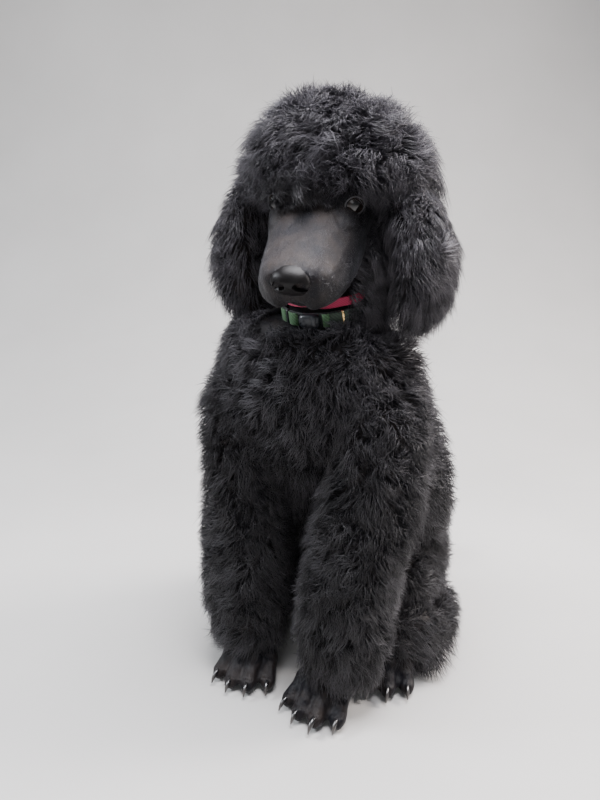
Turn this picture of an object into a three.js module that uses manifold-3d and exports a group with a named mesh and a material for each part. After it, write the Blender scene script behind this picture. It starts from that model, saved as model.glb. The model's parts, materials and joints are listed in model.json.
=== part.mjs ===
// A sitting standard poodle puppy with a brushed coat, life size, in millimetres.
// +Z is up, the dog faces -Y and +X is its left. It rests on the floor at z = 0.

import * as THREE from "three";
import { ConvexGeometry } from "three/addons/geometries/ConvexGeometry.js";
import { MeshSurfaceSampler } from "three/addons/math/MeshSurfaceSampler.js";
import { mergeVertices } from "three/addons/utils/BufferGeometryUtils.js";
import Module from "manifold-3d";

const wasm = await Module();
wasm.setup();
const { Manifold, Mesh } = wasm;

// Driving dimensions
const gap = 0.3;
const grid = 1 / 256;
const crownHeight = 640;
const withersHeight = 420;
const chestHalfWidth = 128;
const headCentreX = 16;
const eyesAt = new THREE.Vector3(19, -16, 528);
const headTurn = { yaw: 8, pitch: 37, roll: 4 };
const eyeRadius = 11.5;
const muzzleLength = 105;
const forepaws = { left: [38, -37], right: [-60, -22] };
const hindpaws = { left: [84, 36], right: [-104, 66] };

// Depth of the coat from the skin to the tips of the hair, and the width of one clump of curls
const coat = {
  crown: { depth: 50, wide: 52 },
  ear: { depth: 30, wide: 48 },
  neck: { depth: 34, wide: 64 },
  body: { depth: 42, wide: 68 },
  foreleg: { depth: 30, wide: 52 },
  hindleg: { depth: 36, wide: 62 },
  tail: { depth: 36, wide: 44 },
};

const materials = {
  coat: new THREE.MeshStandardMaterial({ color: 0x17161a, roughness: 0.9, metalness: 0 }),
  skin: new THREE.MeshStandardMaterial({ color: 0x1d1c20, roughness: 0.6, metalness: 0 }),
  nose: new THREE.MeshStandardMaterial({ color: 0x0c0b0d, roughness: 0.35, metalness: 0 }),
  eye: new THREE.MeshStandardMaterial({ color: 0x120a06, roughness: 0.05, metalness: 0 }),
  webbing: new THREE.MeshStandardMaterial({ color: 0x1f5a3a, roughness: 0.8, metalness: 0 }),
  buckle: new THREE.MeshStandardMaterial({ color: 0x1b1e22, roughness: 0.4, metalness: 0 }),
  brass: new THREE.MeshStandardMaterial({ color: 0xc9a25a, roughness: 0.3, metalness: 1 }),
  loop: new THREE.MeshStandardMaterial({ color: 0xb5133f, roughness: 0.75, metalness: 0 }),
};

const radians = THREE.MathUtils.degToRad;
const vector = (x, y, z) => new THREE.Vector3(x, y, z);

// A repeatable stream of numbers from 0 to 1
function seeded(seed) {
  let state = seed >>> 0;
  return () => {
    state = (Math.imul(state, 1664525) + 1013904223) >>> 0;
    return state / 2 ** 32;
  };
}

// Solids and meshes

function solid(geometry) {
  const bare = new THREE.BufferGeometry().setAttribute("position", geometry.getAttribute("position"));
  if (geometry.index) bare.setIndex(geometry.index);
  const merged = mergeVertices(bare, 1e-3);
  const triVerts = new Uint32Array(merged.index.array);
  const make = () =>
    new Manifold(new Mesh({ numProp: 3, vertProperties: merged.attributes.position.array, triVerts }));
  const made = make();
  if (made.volume() > 0) return made;
  triVerts.reverse();
  return make();
}

function geometryOf(made) {
  const mesh = made.getMesh();
  const geometry = new THREE.BufferGeometry();
  geometry.setAttribute("position", new THREE.BufferAttribute(new Float32Array(mesh.vertProperties), 3));
  geometry.setIndex(new THREE.BufferAttribute(new Uint32Array(mesh.triVerts), 1));
  geometry.computeVertexNormals();
  return geometry;
}

const join = (pieces) => Manifold.union(pieces);
const moved = (made, matrix) => made.transform(Array.from(matrix.elements));
const largest = (made) => made.decompose().sort((a, b) => b.volume() - a.volume())[0];

// The one outer surface of a solid, on a fine grid, without loose scraps or sealed hollows
function oneBody(made) {
  const geometry = geometryOf(largest(made));
  const position = geometry.getAttribute("position");
  position.array.forEach((value, i) => (position.array[i] = Math.round(value / grid) * grid));
  return largest(solid(geometry));
}

// The convex shape round a solid, for cutting its neighbours clear of it
function envelope(made, margin = gap) {
  const position = geometryOf(made).getAttribute("position");
  const points = Array.from({ length: position.count }, (_, i) => vector().fromBufferAttribute(position, i));
  const box = new THREE.Box3().setFromPoints(points);
  const centre = box.getCenter(vector());
  const size = box.getSize(vector());
  const scale = vector(...size.toArray().map((length) => (length + 2 * margin) / length));
  points.forEach((point) => point.sub(centre).multiply(scale).add(centre));
  return solid(new ConvexGeometry(points));
}

// A closed form through stations. Each has a centre, a half width across and half depths up and down.
// Across is the X side. Up is +Z on a path towards +Y, and the front, -Y, on a path that rises.
// The sections are square to the path, or all face one way.
function loft(stations, options = {}) {
  const { around = 12, steps = 2, square = 2, startCap = 0, endCap = 0 } = options;
  const { across = vector(1, 0, 0), facing = null, rounded = true } = options;
  const centres = new THREE.CatmullRomCurve3(stations.map((s) => vector(...s.at)));
  const sizes = new THREE.CatmullRomCurve3(
    stations.map((s) => vector(s.wide, s.up ?? s.deep, s.down ?? s.deep)),
  );
  const rings = [];
  const addRing = (t, shift, scale) => {
    const tangent = facing ?? centres.getTangent(t);
    const side = across.clone().addScaledVector(tangent, -across.dot(tangent)).normalize();
    const up = side.clone().cross(tangent);
    const centre = centres.getPoint(t).addScaledVector(tangent, shift);
    const [wide, top, bottom] = sizes.getPoint(t).toArray();
    rings.push(
      Array.from({ length: around }, (_, k) => {
        const angle = (2 * Math.PI * k) / around;
        const [c, s] = [Math.cos(angle), Math.sin(angle)];
        const x = Math.sign(c) * Math.abs(c) ** (2 / square) * wide * scale;
        const y = Math.sign(s) * Math.abs(s) ** (2 / square) * (s > 0 ? top : bottom) * scale;
        return centre.clone().addScaledVector(side, x).addScaledVector(up, y);
      }),
    );
    return { centre, tangent };
  };
  const capRing = 0.72;
  if (startCap && rounded) addRing(0, -startCap * capRing, capRing);
  const count = (stations.length - 1) * steps;
  for (let i = 0; i <= count; i++) addRing(i / count, 0, 1);
  if (endCap && rounded) addRing(1, endCap * capRing, capRing);
  const poles = [0, 1].map((t) =>
    centres.getPoint(t).addScaledVector(facing ?? centres.getTangent(t), t ? endCap : -startCap),
  );
  const points = [...rings.flat(), ...poles];
  const index = [];
  const [south, north] = [points.length - 2, points.length - 1];
  for (let i = 0; i < rings.length; i++) {
    for (let k = 0; k < around; k++) {
      const next = (k + 1) % around;
      const [a, b] = [i * around + k, i * around + next];
      if (i === 0) index.push(south, a, b);
      if (i === rings.length - 1) index.push(north, b, a);
      else index.push(a, a + around, b, b, a + around, b + around);
    }
  }
  const geometry = new THREE.BufferGeometry().setFromPoints(points);
  geometry.setIndex(index);
  return solid(geometry);
}

const ball = (at, [x, y, z], across = 10, down = 8) =>
  solid(new THREE.SphereGeometry(1, across, down).scale(x, y, z).translate(...at));

const block = ([x0, y0, z0], [x1, y1, z1]) =>
  solid(
    new THREE.BoxGeometry(x1 - x0, y1 - y0, z1 - z0).translate((x0 + x1) / 2, (y0 + y1) / 2, (z0 + z1) / 2),
  );

// The same stations drawn in by a depth, as from the tips of the coat to its core
const drawnIn = (stations, depth) =>
  stations.map((s) => ({
    at: s.at,
    wide: s.wide - depth,
    up: (s.up ?? s.deep) - depth,
    down: (s.down ?? s.deep) - depth,
  }));

// Coat: rounded clumps set close over a core that reaches half way to the tips

function core(stations, kind, options) {
  const inset = coat[kind].depth / 2;
  const cap = 3;
  const drawn = drawnIn(stations, inset);
  const pullIn = (end, next, length) => {
    const way = vector(...next.at).sub(vector(...end.at));
    end.at = vector(...end.at).addScaledVector(way, length / way.length()).toArray();
  };
  const short = [options.startCap, options.endCap].map((length) => Math.max(inset + cap - length, 0));
  pullIn(drawn[0], stations[1], short[0]);
  pullIn(drawn.at(-1), stations.at(-2), short[1]);
  const startCap = Math.max(options.startCap - inset, cap);
  const endCap = Math.max(options.endCap - inset, cap);
  return loft(drawn, { ...options, startCap, endCap });
}

// Points spread evenly over a surface, as close as the width of the clumps there allows
function scatter(surface, kindAt, seed) {
  const spacing = 1;
  const sampler = new MeshSurfaceSampler(new THREE.Mesh(geometryOf(surface)))
    .setRandomGenerator(seeded(seed))
    .build();
  const tries = Math.ceil(surface.surfaceArea() / 25);
  const candidates = [];
  for (let i = 0; i < tries; i++) {
    const [at, out] = [vector(), vector()];
    sampler.sample(at, out);
    const kind = kindAt(at, out);
    if (kind) candidates.push({ at, out: out.normalize(), kind, away: Infinity });
  }
  const chosen = [];
  while (candidates.length) {
    const next = candidates.reduce((a, b) => (b.away > a.away ? b : a));
    if (next.away < spacing) break;
    chosen.push(next);
    for (const c of candidates) {
      c.away = Math.min(c.away, c.at.distanceTo(next.at) / coat[c.kind].wide);
    }
  }
  return chosen;
}

// One clump: a rounded dome of curls that leans along the lie of the coat
function clump({ at, out }, lie, wide, tall, hang, turn) {
  const sides = 6;
  const rings = [
    { along: -0.35, size: 1.06 },
    { along: 0.58, size: 0.8 },
  ];
  const lean = lie.clone().addScaledVector(out, -lie.dot(out));
  const side = lean.clone().cross(out).normalize();
  const down = out.clone().cross(side);
  const centre = (along) =>
    at.clone().addScaledVector(out, tall * along).addScaledVector(lean, tall * hang * Math.max(along, 0));
  const points = rings.flatMap(({ along, size }) =>
    Array.from({ length: sides }, (_, k) => {
      const angle = turn + (2 * Math.PI * k) / sides;
      return centre(along)
        .addScaledVector(side, (Math.cos(angle) * size * wide) / 2)
        .addScaledVector(down, (Math.sin(angle) * size * wide * 1.12) / 2);
    }),
  );
  points.push(centre(rings[0].along), centre(1.06));
  const [root, tip] = [points.length - 2, points.length - 1];
  const index = [];
  for (let k = 0; k < sides; k++) {
    const [a, b] = [k, (k + 1) % sides];
    index.push(root, b, a, a, b, a + sides, b, b + sides, a + sides, tip, a + sides, b + sides);
  }
  const geometry = new THREE.BufferGeometry().setFromPoints(points);
  geometry.setIndex(index);
  return solid(geometry);
}

function clumps(surface, { kindAt, lieAt, hang = 0.5, seed }) {
  const random = seeded(seed);
  return scatter(surface, kindAt, seed).map((root) => {
    const { wide, depth } = coat[root.kind];
    const size = wide * (0.9 + 0.2 * random());
    const tall = (depth / 2) * (0.92 + 0.3 * random());
    return clump(root, lieAt(root.at), size, tall, hang, random() * 2 * Math.PI);
  });
}

// Head, in its own frame: the origin is just below the middle of the eyes, and -Y points along the muzzle

const headFrame = new THREE.Matrix4().compose(
  eyesAt,
  new THREE.Quaternion().setFromEuler(
    new THREE.Euler(radians(headTurn.pitch), radians(headTurn.roll), radians(headTurn.yaw), "ZXY"),
  ),
  vector(1, 1, 1),
);

const skullHalfWidth = 46;
const eyeAt = (side) => vector(side * 34, -2, 3);
const eyeAim = (side) => vector(side * 0.52, -0.8, 0.26).normalize();

function skull() {
  const stations = [
    { at: [0, -14, -3], wide: 34, up: 14, down: 28 },
    { at: [0, 14, 2], wide: 46, up: 26, down: 36 },
    { at: [0, 45, 4], wide: skullHalfWidth, up: 31, down: 38 },
    { at: [0, 76, 4], wide: 40, up: 26, down: 32 },
  ];
  return loft(stations, { around: 13, startCap: 10, endCap: 16 });
}

function muzzle() {
  const tip = -muzzleLength;
  const stations = [
    { at: [0, tip + 4, -18], wide: 28, up: 19, down: 16 },
    { at: [0, tip + 24, -18], wide: 35, up: 20.5, down: 21 },
    { at: [0, tip + 48, -17], wide: 38, up: 21, down: 26 },
    { at: [0, tip + 76, -14], wide: 41, up: 21, down: 30 },
    { at: [0, tip + 108, -10], wide: 45, up: 22, down: 36 },
  ];
  return loft(stations, { around: 13, square: 2.2, startCap: 5, endCap: 12 });
}

function upperLip(side) {
  const stations = [
    { at: [side * 10, -97, -32], wide: 14, up: 12, down: 12 },
    { at: [side * 23, -87, -31], wide: 14, up: 15, down: 14 },
    { at: [side * 30, -50, -36], wide: 12.5, up: 19, down: 14 },
    { at: [side * 33, 6, -33], wide: 12.5, up: 23, down: 16 },
  ];
  return loft(stations, { around: 8, steps: 1, startCap: 5, endCap: 14 });
}

function lowerJaw() {
  const stations = [
    { at: [0, -86, -46], wide: 18, up: 10, down: 9 },
    { at: [0, -58, -50], wide: 25, up: 11, down: 10 },
    { at: [0, -24, -51], wide: 32, up: 15, down: 12 },
    { at: [0, 22, -42], wide: 38, up: 20, down: 16 },
  ];
  return loft(stations, { around: 12, steps: 1, startCap: 5, endCap: 14 });
}

function cheek(side) {
  const stations = [
    { at: [side * 29, -30, -19], wide: 13.5, up: 14, down: 20 },
    { at: [side * 35, 10, -17.5], wide: 16, up: 18, down: 27 },
    { at: [side * 37, 46, -13], wide: 14, up: 20, down: 26 },
  ];
  return loft(stations, { around: 9, steps: 1, startCap: 8, endCap: 12 });
}

// The two lids: a ring round the opening of the eye
function lids(side) {
  const aim = eyeAim(side);
  const ring = new THREE.TorusGeometry(eyeRadius * 0.8, 2.7, 4, 11).scale(1.12, 0.86, 1);
  const facing = new THREE.Matrix4().lookAt(aim, vector(), vector(0, 0, 1));
  ring.applyMatrix4(facing);
  ring.translate(...eyeAt(side).addScaledVector(aim, eyeRadius * 0.62).toArray());
  return solid(ring);
}

function brow(side) {
  const stations = [
    { at: [side * 17, -6, 7], wide: 8, up: 6, down: 7 },
    { at: [side * 29, 2, 10], wide: 9, up: 8, down: 8 },
    { at: [side * 39, 16, 7], wide: 8, up: 8, down: 8 },
  ];
  return loft(stations, { around: 7, steps: 1, startCap: 6, endCap: 6, across: vector(0, 1, 0) });
}

// The line of the mouth, cut along the edge of the lip on each side
function mouthLine(side) {
  const stations = [
    { at: [side * 2, -100, -43], wide: 2.4, deep: 1.3 },
    { at: [side * 20, -90, -46.5], wide: 3.4, deep: 1.4 },
    { at: [side * 33, -72, -50], wide: 3.8, deep: 1.5 },
    { at: [side * 38, -44, -51.5], wide: 3.8, deep: 1.5 },
    { at: [side * 41, -16, -48], wide: 3.4, deep: 1.2 },
  ];
  return loft(stations, { around: 4, steps: 1, startCap: 2, endCap: 3 });
}

function nose(margin = 0) {
  const stations = [
    { at: [0, -93, -9], wide: 14, up: 7.5, down: 9 },
    { at: [0, -101, -10], wide: 18.5, up: 10, down: 12 },
    { at: [0, -110, -12], wide: 15.5, up: 9.5, down: 10.5 },
  ];
  return loft(drawnIn(stations, -margin), { around: 12, steps: 1, startCap: 2 + margin, endCap: 4 + margin });
}

function nostril(side) {
  const stations = [
    { at: [side * 7, -119, -13], wide: 3.9, deep: 3.6 },
    { at: [side * 8, -110, -12], wide: 3.7, deep: 3.4 },
    { at: [side * 8, -103, -11], wide: 2.2, deep: 2.2 },
  ];
  const slit = [
    { at: [side * 10, -114, -15], wide: 3, deep: 1 },
    { at: [side * 15, -107, -15.5], wide: 2.6, deep: 1 },
    { at: [side * 19.5, -100, -14.5], wide: 2, deep: 1 },
  ];
  return join([loft(stations, { around: 6, steps: 1 }), loft(slit, { around: 5, steps: 1 })]);
}

const both = (make) => [make(1), make(-1)];

const faceSolid = join([skull(), muzzle(), lowerJaw(), ...[upperLip, cheek, lids, brow].flatMap(both)]);
const eyeball = (side, margin = 0) =>
  ball(eyeAt(side).toArray(), Array(3).fill(eyeRadius + margin), 10, 8);
const philtrum = block([-0.8, -116, -38], [0.8, -98, -22]);
const headLocal = largest(
  faceSolid
    .subtract(join([nose(gap), ...both((side) => eyeball(side, gap)), ...both(mouthLine), philtrum])),
);
const noseLocal = largest(nose().subtract(join(both(nostril))));
const headEnvelope = envelope(moved(headLocal, headFrame), gap);

// Coat forms, each given by its outline at the tips of the hair

const torsoOutline = [
  { at: [0, 178, 22], wide: 98, up: 70, down: 92 },
  { at: [0, 172, 80], wide: 118, up: 84, down: 96 },
  { at: [-2, 140, 165], wide: 142, up: 92, down: 92 },
  { at: [-3, 100, 250], wide: chestHalfWidth + 19, up: 110, down: 88 },
  { at: [-3, 50, 330], wide: chestHalfWidth + 2, up: 98, down: 88 },
  { at: [0, 38, withersHeight - 32], wide: 123, up: 88, down: 80 },
  { at: [5, 38, withersHeight + 6], wide: 97, up: 68, down: 66 },
];

const neckOutline = [
  { at: [9, 38, withersHeight], wide: 74, up: 60, down: 76 },
  { at: [13, 40, 448], wide: 68, up: 54, down: 78 },
  { at: [15, 46, 486], wide: 70, up: 52, down: 76 },
  { at: [16, 50, 528], wide: 78, up: 58, down: 74 },
];

function forelegOutline(side) {
  const [x, y] = side > 0 ? forepaws.left : forepaws.right;
  const out = side > 0 ? 12 : -11;
  return [
    { at: [x + out, y + 18, 46], wide: 57, up: 48, down: 46 },
    { at: [x + out * 1.25, y + 18, 90], wide: 60, up: 50, down: 50 },
    { at: [x * 0.74 + side * 19 + out, y * 0.6 + 14, 160], wide: 61, up: 54, down: 54 },
    { at: [side * 74 - 2, 14, 235], wide: 59, up: 58, down: 58 },
    { at: [side * 77 - 4, 20, 300], wide: 60, up: 60, down: 60 },
    { at: [side * 76 - 4, 26, 342], wide: 54, up: 56, down: 56 },
  ];
}

function thighOutline(side) {
  return [
    { at: [side * 81, 86, 100], wide: 50, up: 60, down: 60 },
    { at: [side * 82, 140, 112], wide: 58, up: 72, down: 72 },
    { at: [side * 60, 205, 98], wide: 56, up: 70, down: 66 },
  ];
}

function pasternOutline(side) {
  return [
    { at: [side * 106, 64, 34], wide: 48, up: 42, down: 40 },
    { at: [side * 108, 122, 36], wide: 50, up: 44, down: 40 },
    { at: [side * 102, 182, 36], wide: 46, up: 42, down: 40 },
  ];
}

const tailOutline = [
  { at: [4, 262, 46], wide: 34, up: 34, down: 40 },
  { at: [10, 290, 40], wide: 30, up: 28, down: 36 },
  { at: [22, 322, 44], wide: 44, up: 42, down: 46 },
  { at: [34, 352, 46], wide: 44, up: 42, down: 48 },
];

const crownOutline = [
  { at: [headCentreX, 34, 526], wide: 90, up: 66, down: 80 },
  { at: [headCentreX + 2, 34, 550], wide: 109, up: 84, down: 84 },
  { at: [headCentreX + 2, 34, 578], wide: 106, up: 87, down: 86 },
  { at: [headCentreX - 4, 34, 604], wide: 84, up: 73, down: 70 },
  { at: [headCentreX - 9, 34, crownHeight - 15], wide: 62, up: 54, down: 54 },
];

function earOutline(side) {
  const left = side > 0;
  const drop = left ? -4 : 4;
  const x = (out) => headCentreX + side * (out + 4) - (left ? 3 : 4);
  return [
    { at: [x(85), 36, 420 + drop], wide: 28, up: 42, down: 42 },
    { at: [x(93), 34, 452 + drop], wide: 34, up: 54, down: 50 },
    { at: [x(93), 34, 492 + drop], wide: 37, up: 56, down: 50 },
    { at: [x(left ? 80 : 85), 36, 530 + drop], wide: 35, up: 50, down: 46 },
    { at: [x(left ? 68 : 71), 38, 562 + drop], wide: 31, up: 42, down: 38 },
  ];
}

// Topknot and ears: one coat, parted afterwards

const upright = vector(0, 0, 1);

function headCoat() {
  const earShape = { around: 12, startCap: 14, endCap: 6, facing: upright };
  const cores = [
    core(crownOutline, "crown", { around: 16, startCap: 4, endCap: 20, facing: upright }),
    ...both((side) => core(earOutline(side), "ear", earShape)),
  ];
  const surface = join(cores);
  const lieAt = ({ x, y, z }) => {
    const out = x - headCentreX;
    return z > 560 ? vector(out, (y - 34) * 0.8, -40).normalize() : vector(out * 0.002, 0, -1);
  };
  const kindAt = ({ x, z }, out) => {
    const outward = out.x * Math.sign(x - headCentreX);
    if (z > 556) return "crown";
    if (Math.abs(x - headCentreX) < 62) return z > fringeHeight && out.z > -0.5 ? "crown" : null;
    return outward > -0.2 || Math.abs(out.y) > 0.8 ? "ear" : null;
  };
  return join([surface, ...clumps(surface, { kindAt, lieAt, hang: 0.8, seed: 23 })]);
}

// Each ear's hair hangs from a plane that rises outwards above the root of the ear
const earPlane = (side) => {
  const normal = vector(side * 0.714, 0, -0.7).toArray();
  return { normal, offset: normal[0] * (headCentreX + side * 52) + normal[2] * 522 };
};

// The hollow on the inner side of the hanging ear
const earCup = (side) => ball([headCentreX + side * 53, 36, 468], [11, 30, 44], 12, 8);

// Body and legs

const fringeHeight = 530;
const elbowHeight = 196;
const kneeHeight = 182;
const legSplitX = -6;
const hindSplitX = 62;
const tailStart = 262;

// The cut between a fore and a hind leg leans back as it rises
const legCut = { normal: [0, 0.9745, -0.2243], offset: 26 };

function bodyKind({ x, y, z }, out) {
  if (z < 14 && out.z < -0.3) return null;
  if (y > tailStart + 10) return "tail";
  if (z > withersHeight) return y < 30 ? null : "neck";
  const front = 0.9745 * y - 0.2243 * z < legCut.offset;
  if (front && z < elbowHeight) return "foreleg";
  if (!front && z < kneeHeight && Math.abs(x) > hindSplitX) return "hindleg";
  return "body";
}

function bodyLie({ x, y, z }) {
  if (y > tailStart + 10) return vector(0.3, 1, -0.1).normalize();
  if (z < 60) return vector(Math.sign(x) * 0.15, 0, -1).normalize();
  return vector(x * 0.001, 0.15, -1).normalize();
}

function bodyCoat() {
  const cores = [
    core(torsoOutline, "body", { around: 16, startCap: 16, endCap: 6 }),
    core(neckOutline, "neck", { around: 14, startCap: 8, endCap: 2 }),
    ...both((side) => core(forelegOutline(side), "foreleg", { around: 12, startCap: 6, endCap: 30 })),
    ...both((side) => core(thighOutline(side), "hindleg", { around: 12, startCap: 36, endCap: 36 })),
    ...both((side) => core(pasternOutline(side), "hindleg", { around: 10, startCap: 20, endCap: 22 })),
    core(tailOutline, "tail", { around: 10, startCap: 20, endCap: 30 }),
  ];
  const surface = join(cores).trimByPlane([0, 0, 1], 0);
  return join([surface, ...clumps(surface, { kindAt: bodyKind, lieAt: bodyLie, seed: 5 })]);
}

// Paws, shaved, with four toes and their claws, each in the frame of its own paw: -Y points along the toes

const toes = [
  { x: -18, start: 12, turn: -14 },
  { x: -6.5, start: 2, turn: -4 },
  { x: 6.5, start: 2, turn: 4 },
  { x: 18, start: 12, turn: 14 },
];

function toe({ x, start, turn }) {
  const [s, c] = [Math.sin(radians(turn)), Math.cos(radians(turn))];
  const on = (forward, z) => [x + s * forward, start - c * forward, z];
  const stations = [
    { at: on(0, 22), wide: 8.4, up: 9, down: 13 },
    { at: on(17, 22), wide: 8.8, up: 9.5, down: 15 },
    { at: on(29, 15), wide: 8.6, up: 9.5, down: 15 },
    { at: on(37, 10.5), wide: 6.6, up: 7, down: 10.5 },
  ].reverse();
  const claw = [
    { at: on(49, 4.5), wide: 1.3, deep: 1.4 },
    { at: on(44, 9), wide: 2.5, deep: 2.8 },
    { at: on(37, 11.5), wide: 3, deep: 3.4 },
  ];
  const side = vector(c, s, 0);
  return join([
    loft(stations, { around: 6, steps: 1, startCap: 4, endCap: 4, across: side, rounded: false }),
    loft(claw, { around: 4, steps: 1, endCap: 1, across: side, rounded: false }),
  ]);
}

function paw([x, y], turn, height) {
  const stem = [
    { at: [0, 12, 12], wide: 24, up: 22, down: 18 },
    { at: [0, 8, 30], wide: 21, up: 18, down: 15 },
    { at: [0, 12, height], wide: 17, up: 14, down: 14 },
  ];
  const whole = join([...toes.map(toe), loft(stem, { around: 8, steps: 1, startCap: 8, rounded: false })]);
  const placed = new THREE.Matrix4().makeRotationZ(radians(turn)).setPosition(x, y, 0);
  return largest(moved(whole, placed).trimByPlane([0, 0, 1], 0));
}

const pawStemTop = 54;
const paws = {
  forepaw_left: paw(forepaws.left, -8, pawStemTop),
  forepaw_right: paw(forepaws.right, 6, pawStemTop),
  hindpaw_left: paw(hindpaws.left, 8, pawStemTop - 8),
  hindpaw_right: paw(hindpaws.right, -10, pawStemTop - 8),
};

// Collar: a webbing strap with a side release buckle, and a narrow loop above it

const collarFrame = new THREE.Matrix4().compose(
  vector(13, 36, 435),
  new THREE.Quaternion().setFromEuler(new THREE.Euler(radians(18), 0, 0)),
  vector(1, 1, 1),
);

// The outline of the neck under the webbing, from one angle to another, in degrees from +X
function around(from, to, inset, segments) {
  return Array.from({ length: segments + 1 }, (_, k) => {
    const angle = radians(from + ((to - from) * k) / segments);
    return new THREE.Vector2(
      (strap.halfWidth + inset) * Math.cos(angle),
      (strap.halfDepth + inset) * Math.sin(angle),
    );
  });
}

function bent(from, to, inset, thick, tall, segments) {
  const shape = new THREE.Shape([
    ...around(from, to, inset + thick, segments),
    ...around(from, to, inset, segments).reverse(),
  ]);
  const extruded = new THREE.ExtrudeGeometry(shape, { depth: tall, bevelEnabled: false });
  return solid(extruded.translate(0, 0, -tall / 2));
}

function band(inset, thick, tall, segments = 18) {
  const ringOf = (out) => around(0, 360, out, segments).slice(0, segments);
  const shape = new THREE.Shape(ringOf(inset + thick));
  shape.holes.push(new THREE.Path(ringOf(inset)));
  const extruded = new THREE.ExtrudeGeometry(shape, { depth: tall, bevelEnabled: false });
  return solid(extruded.translate(0, 0, -tall / 2));
}

const strap = { halfWidth: 50, halfDepth: 53, thick: 2, tall: 14 };
const fold = { inset: strap.thick + gap, thick: 1.8, tall: 13 };
const loopBand = { thick: 1.8, tall: 9 };
const buckle = { half: 11.5, thick: 7, tall: 15.5 };

function buckleSolid() {
  const back = -strap.halfDepth - strap.thick - gap;
  const { half, thick, tall } = buckle;
  const plate = loft(
    [
      { at: [0, back - thick, 0], wide: half - 2.5, deep: tall / 2 - 2.5 },
      { at: [0, back - thick + 1.6, 0], wide: half - 0.6, deep: tall / 2 - 0.6 },
      { at: [0, back, 0], wide: half, deep: tall / 2 },
    ],
    { around: 16, square: 5, steps: 1 },
  );
  const notches = both((side) =>
    block([side > 0 ? 7 : -9, back - thick - 1, -3.2], [side > 0 ? 9 : -7, back - thick + 1.4, 3.2]),
  );
  return plate.subtract(join(notches));
}

// A frame that grips the doubled webbing at its edges, at an angle round the collar
function slide(angle, wide, tall, thick) {
  const out = fold.inset + fold.thick + gap;
  const bar = (z0, z1, from, to) =>
    solid(new THREE.BoxGeometry(wide, to - from, z1 - z0).translate(0, -(from + to) / 2, (z0 + z1) / 2));
  const edge = strap.tall / 2 + gap;
  const pieces = [
    bar(-tall / 2, tall / 2, out, out + thick),
    bar(edge, tall / 2, 1, out + thick),
    bar(-tall / 2, -edge, 1, out + thick),
  ];
  const [spot] = around(angle, angle, 0, 1);
  const slope = Math.atan2(spot.y / strap.halfDepth ** 2, spot.x / strap.halfWidth ** 2);
  const placed = new THREE.Matrix4().makeRotationZ(slope + Math.PI / 2).setPosition(spot.x, spot.y, 0);
  return moved(join(pieces), placed);
}

function collarPieces() {
  return {
    collar_strap: [band(0, strap.thick, strap.tall), materials.webbing],
    collar_buckle: [buckleSolid(), materials.buckle],
    collar_fold_right: [bent(-104, -136, fold.inset, fold.thick, fold.tall, 4), materials.webbing],
    collar_fold_left: [bent(-76, -48, fold.inset, fold.thick, fold.tall, 4), materials.webbing],
    collar_slide: [slide(-121, 4, 18, 2), materials.buckle],
    collar_keeper: [slide(-54, 2.6, 17, 1.6), materials.brass],
  };
}

const loopFrame = new THREE.Matrix4().compose(
  vector(13, 36, 450),
  new THREE.Quaternion().setFromEuler(new THREE.Euler(radians(18), radians(-2.5), 0)),
  vector(1, 1, 1),
);

// The webbing runs in a channel in the coat, which is open in front, where the hair is short
const openFrom = -150;
const openTo = -30;
const channel = (thick, tall, frame) =>
  moved(
    join([
      band(-gap, thick + 2 * gap, tall + 2 * gap),
      bent(openFrom, openTo, -gap, 40, tall + 12, 6),
    ]),
    frame,
  );
const grooves = [
  channel(fold.inset + fold.thick, strap.tall, collarFrame),
  channel(loopBand.thick, loopBand.tall, loopFrame),
];

// Assembly

const dog = new THREE.Group();
const headGroup = new THREE.Group();
headGroup.applyMatrix4(headFrame);
const collarGroup = new THREE.Group();
collarGroup.applyMatrix4(collarFrame);
const loopGroup = new THREE.Group();
loopGroup.applyMatrix4(loopFrame);

function addNode(parent, name, made, material) {
  const mesh = new THREE.Mesh(geometryOf(oneBody(made)), material);
  mesh.name = name;
  parent.add(mesh);
}

addNode(headGroup, "head", headLocal, materials.skin);
addNode(headGroup, "nose", noseLocal, materials.nose);
addNode(headGroup, "eye_left", eyeball(1), materials.eye);
addNode(headGroup, "eye_right", eyeball(-1), materials.eye);

const pawEnvelopes = join(Object.values(paws).map((made) => envelope(made, gap)));
for (const [name, made] of Object.entries(paws)) addNode(dog, name, made, materials.skin);

// The fringe ends, and the neck begins, at a plane that is higher at the front
const fringeCut = { normal: [0, 0.13, 0.9915], offset: 525.5 };
const flipped = ({ normal, offset }) => ({ normal: normal.map((n) => -n), offset: -offset });
const keep = (made, { normal, offset }, margin = gap / 2) => made.trimByPlane(normal, offset + margin);

const hair = headCoat().subtract(headEnvelope);
const ears = both((side) => largest(keep(hair, earPlane(side)).subtract(earCup(side))));
ears.forEach((ear, i) => addNode(dog, i ? "ear_right" : "ear_left", ear, materials.coat));
const crown = both(earPlane).reduce((made, plane) => keep(made, flipped(plane)), hair);
addNode(dog, "topknot", keep(crown, fringeCut), materials.coat);

const earEnvelopes = join(ears.map((ear) => envelope(ear)));
const bodyWhole = keep(bodyCoat(), flipped(fringeCut))
  .trimByPlane([0, 0, 1], 0)
  .subtract(join([headEnvelope, earEnvelopes, pawEnvelopes, ...grooves]));
const neckCut = { normal: [0, -0.26, 0.966], offset: 391 };
addNode(dog, "neck", keep(bodyWhole, neckCut), materials.coat);

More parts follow.
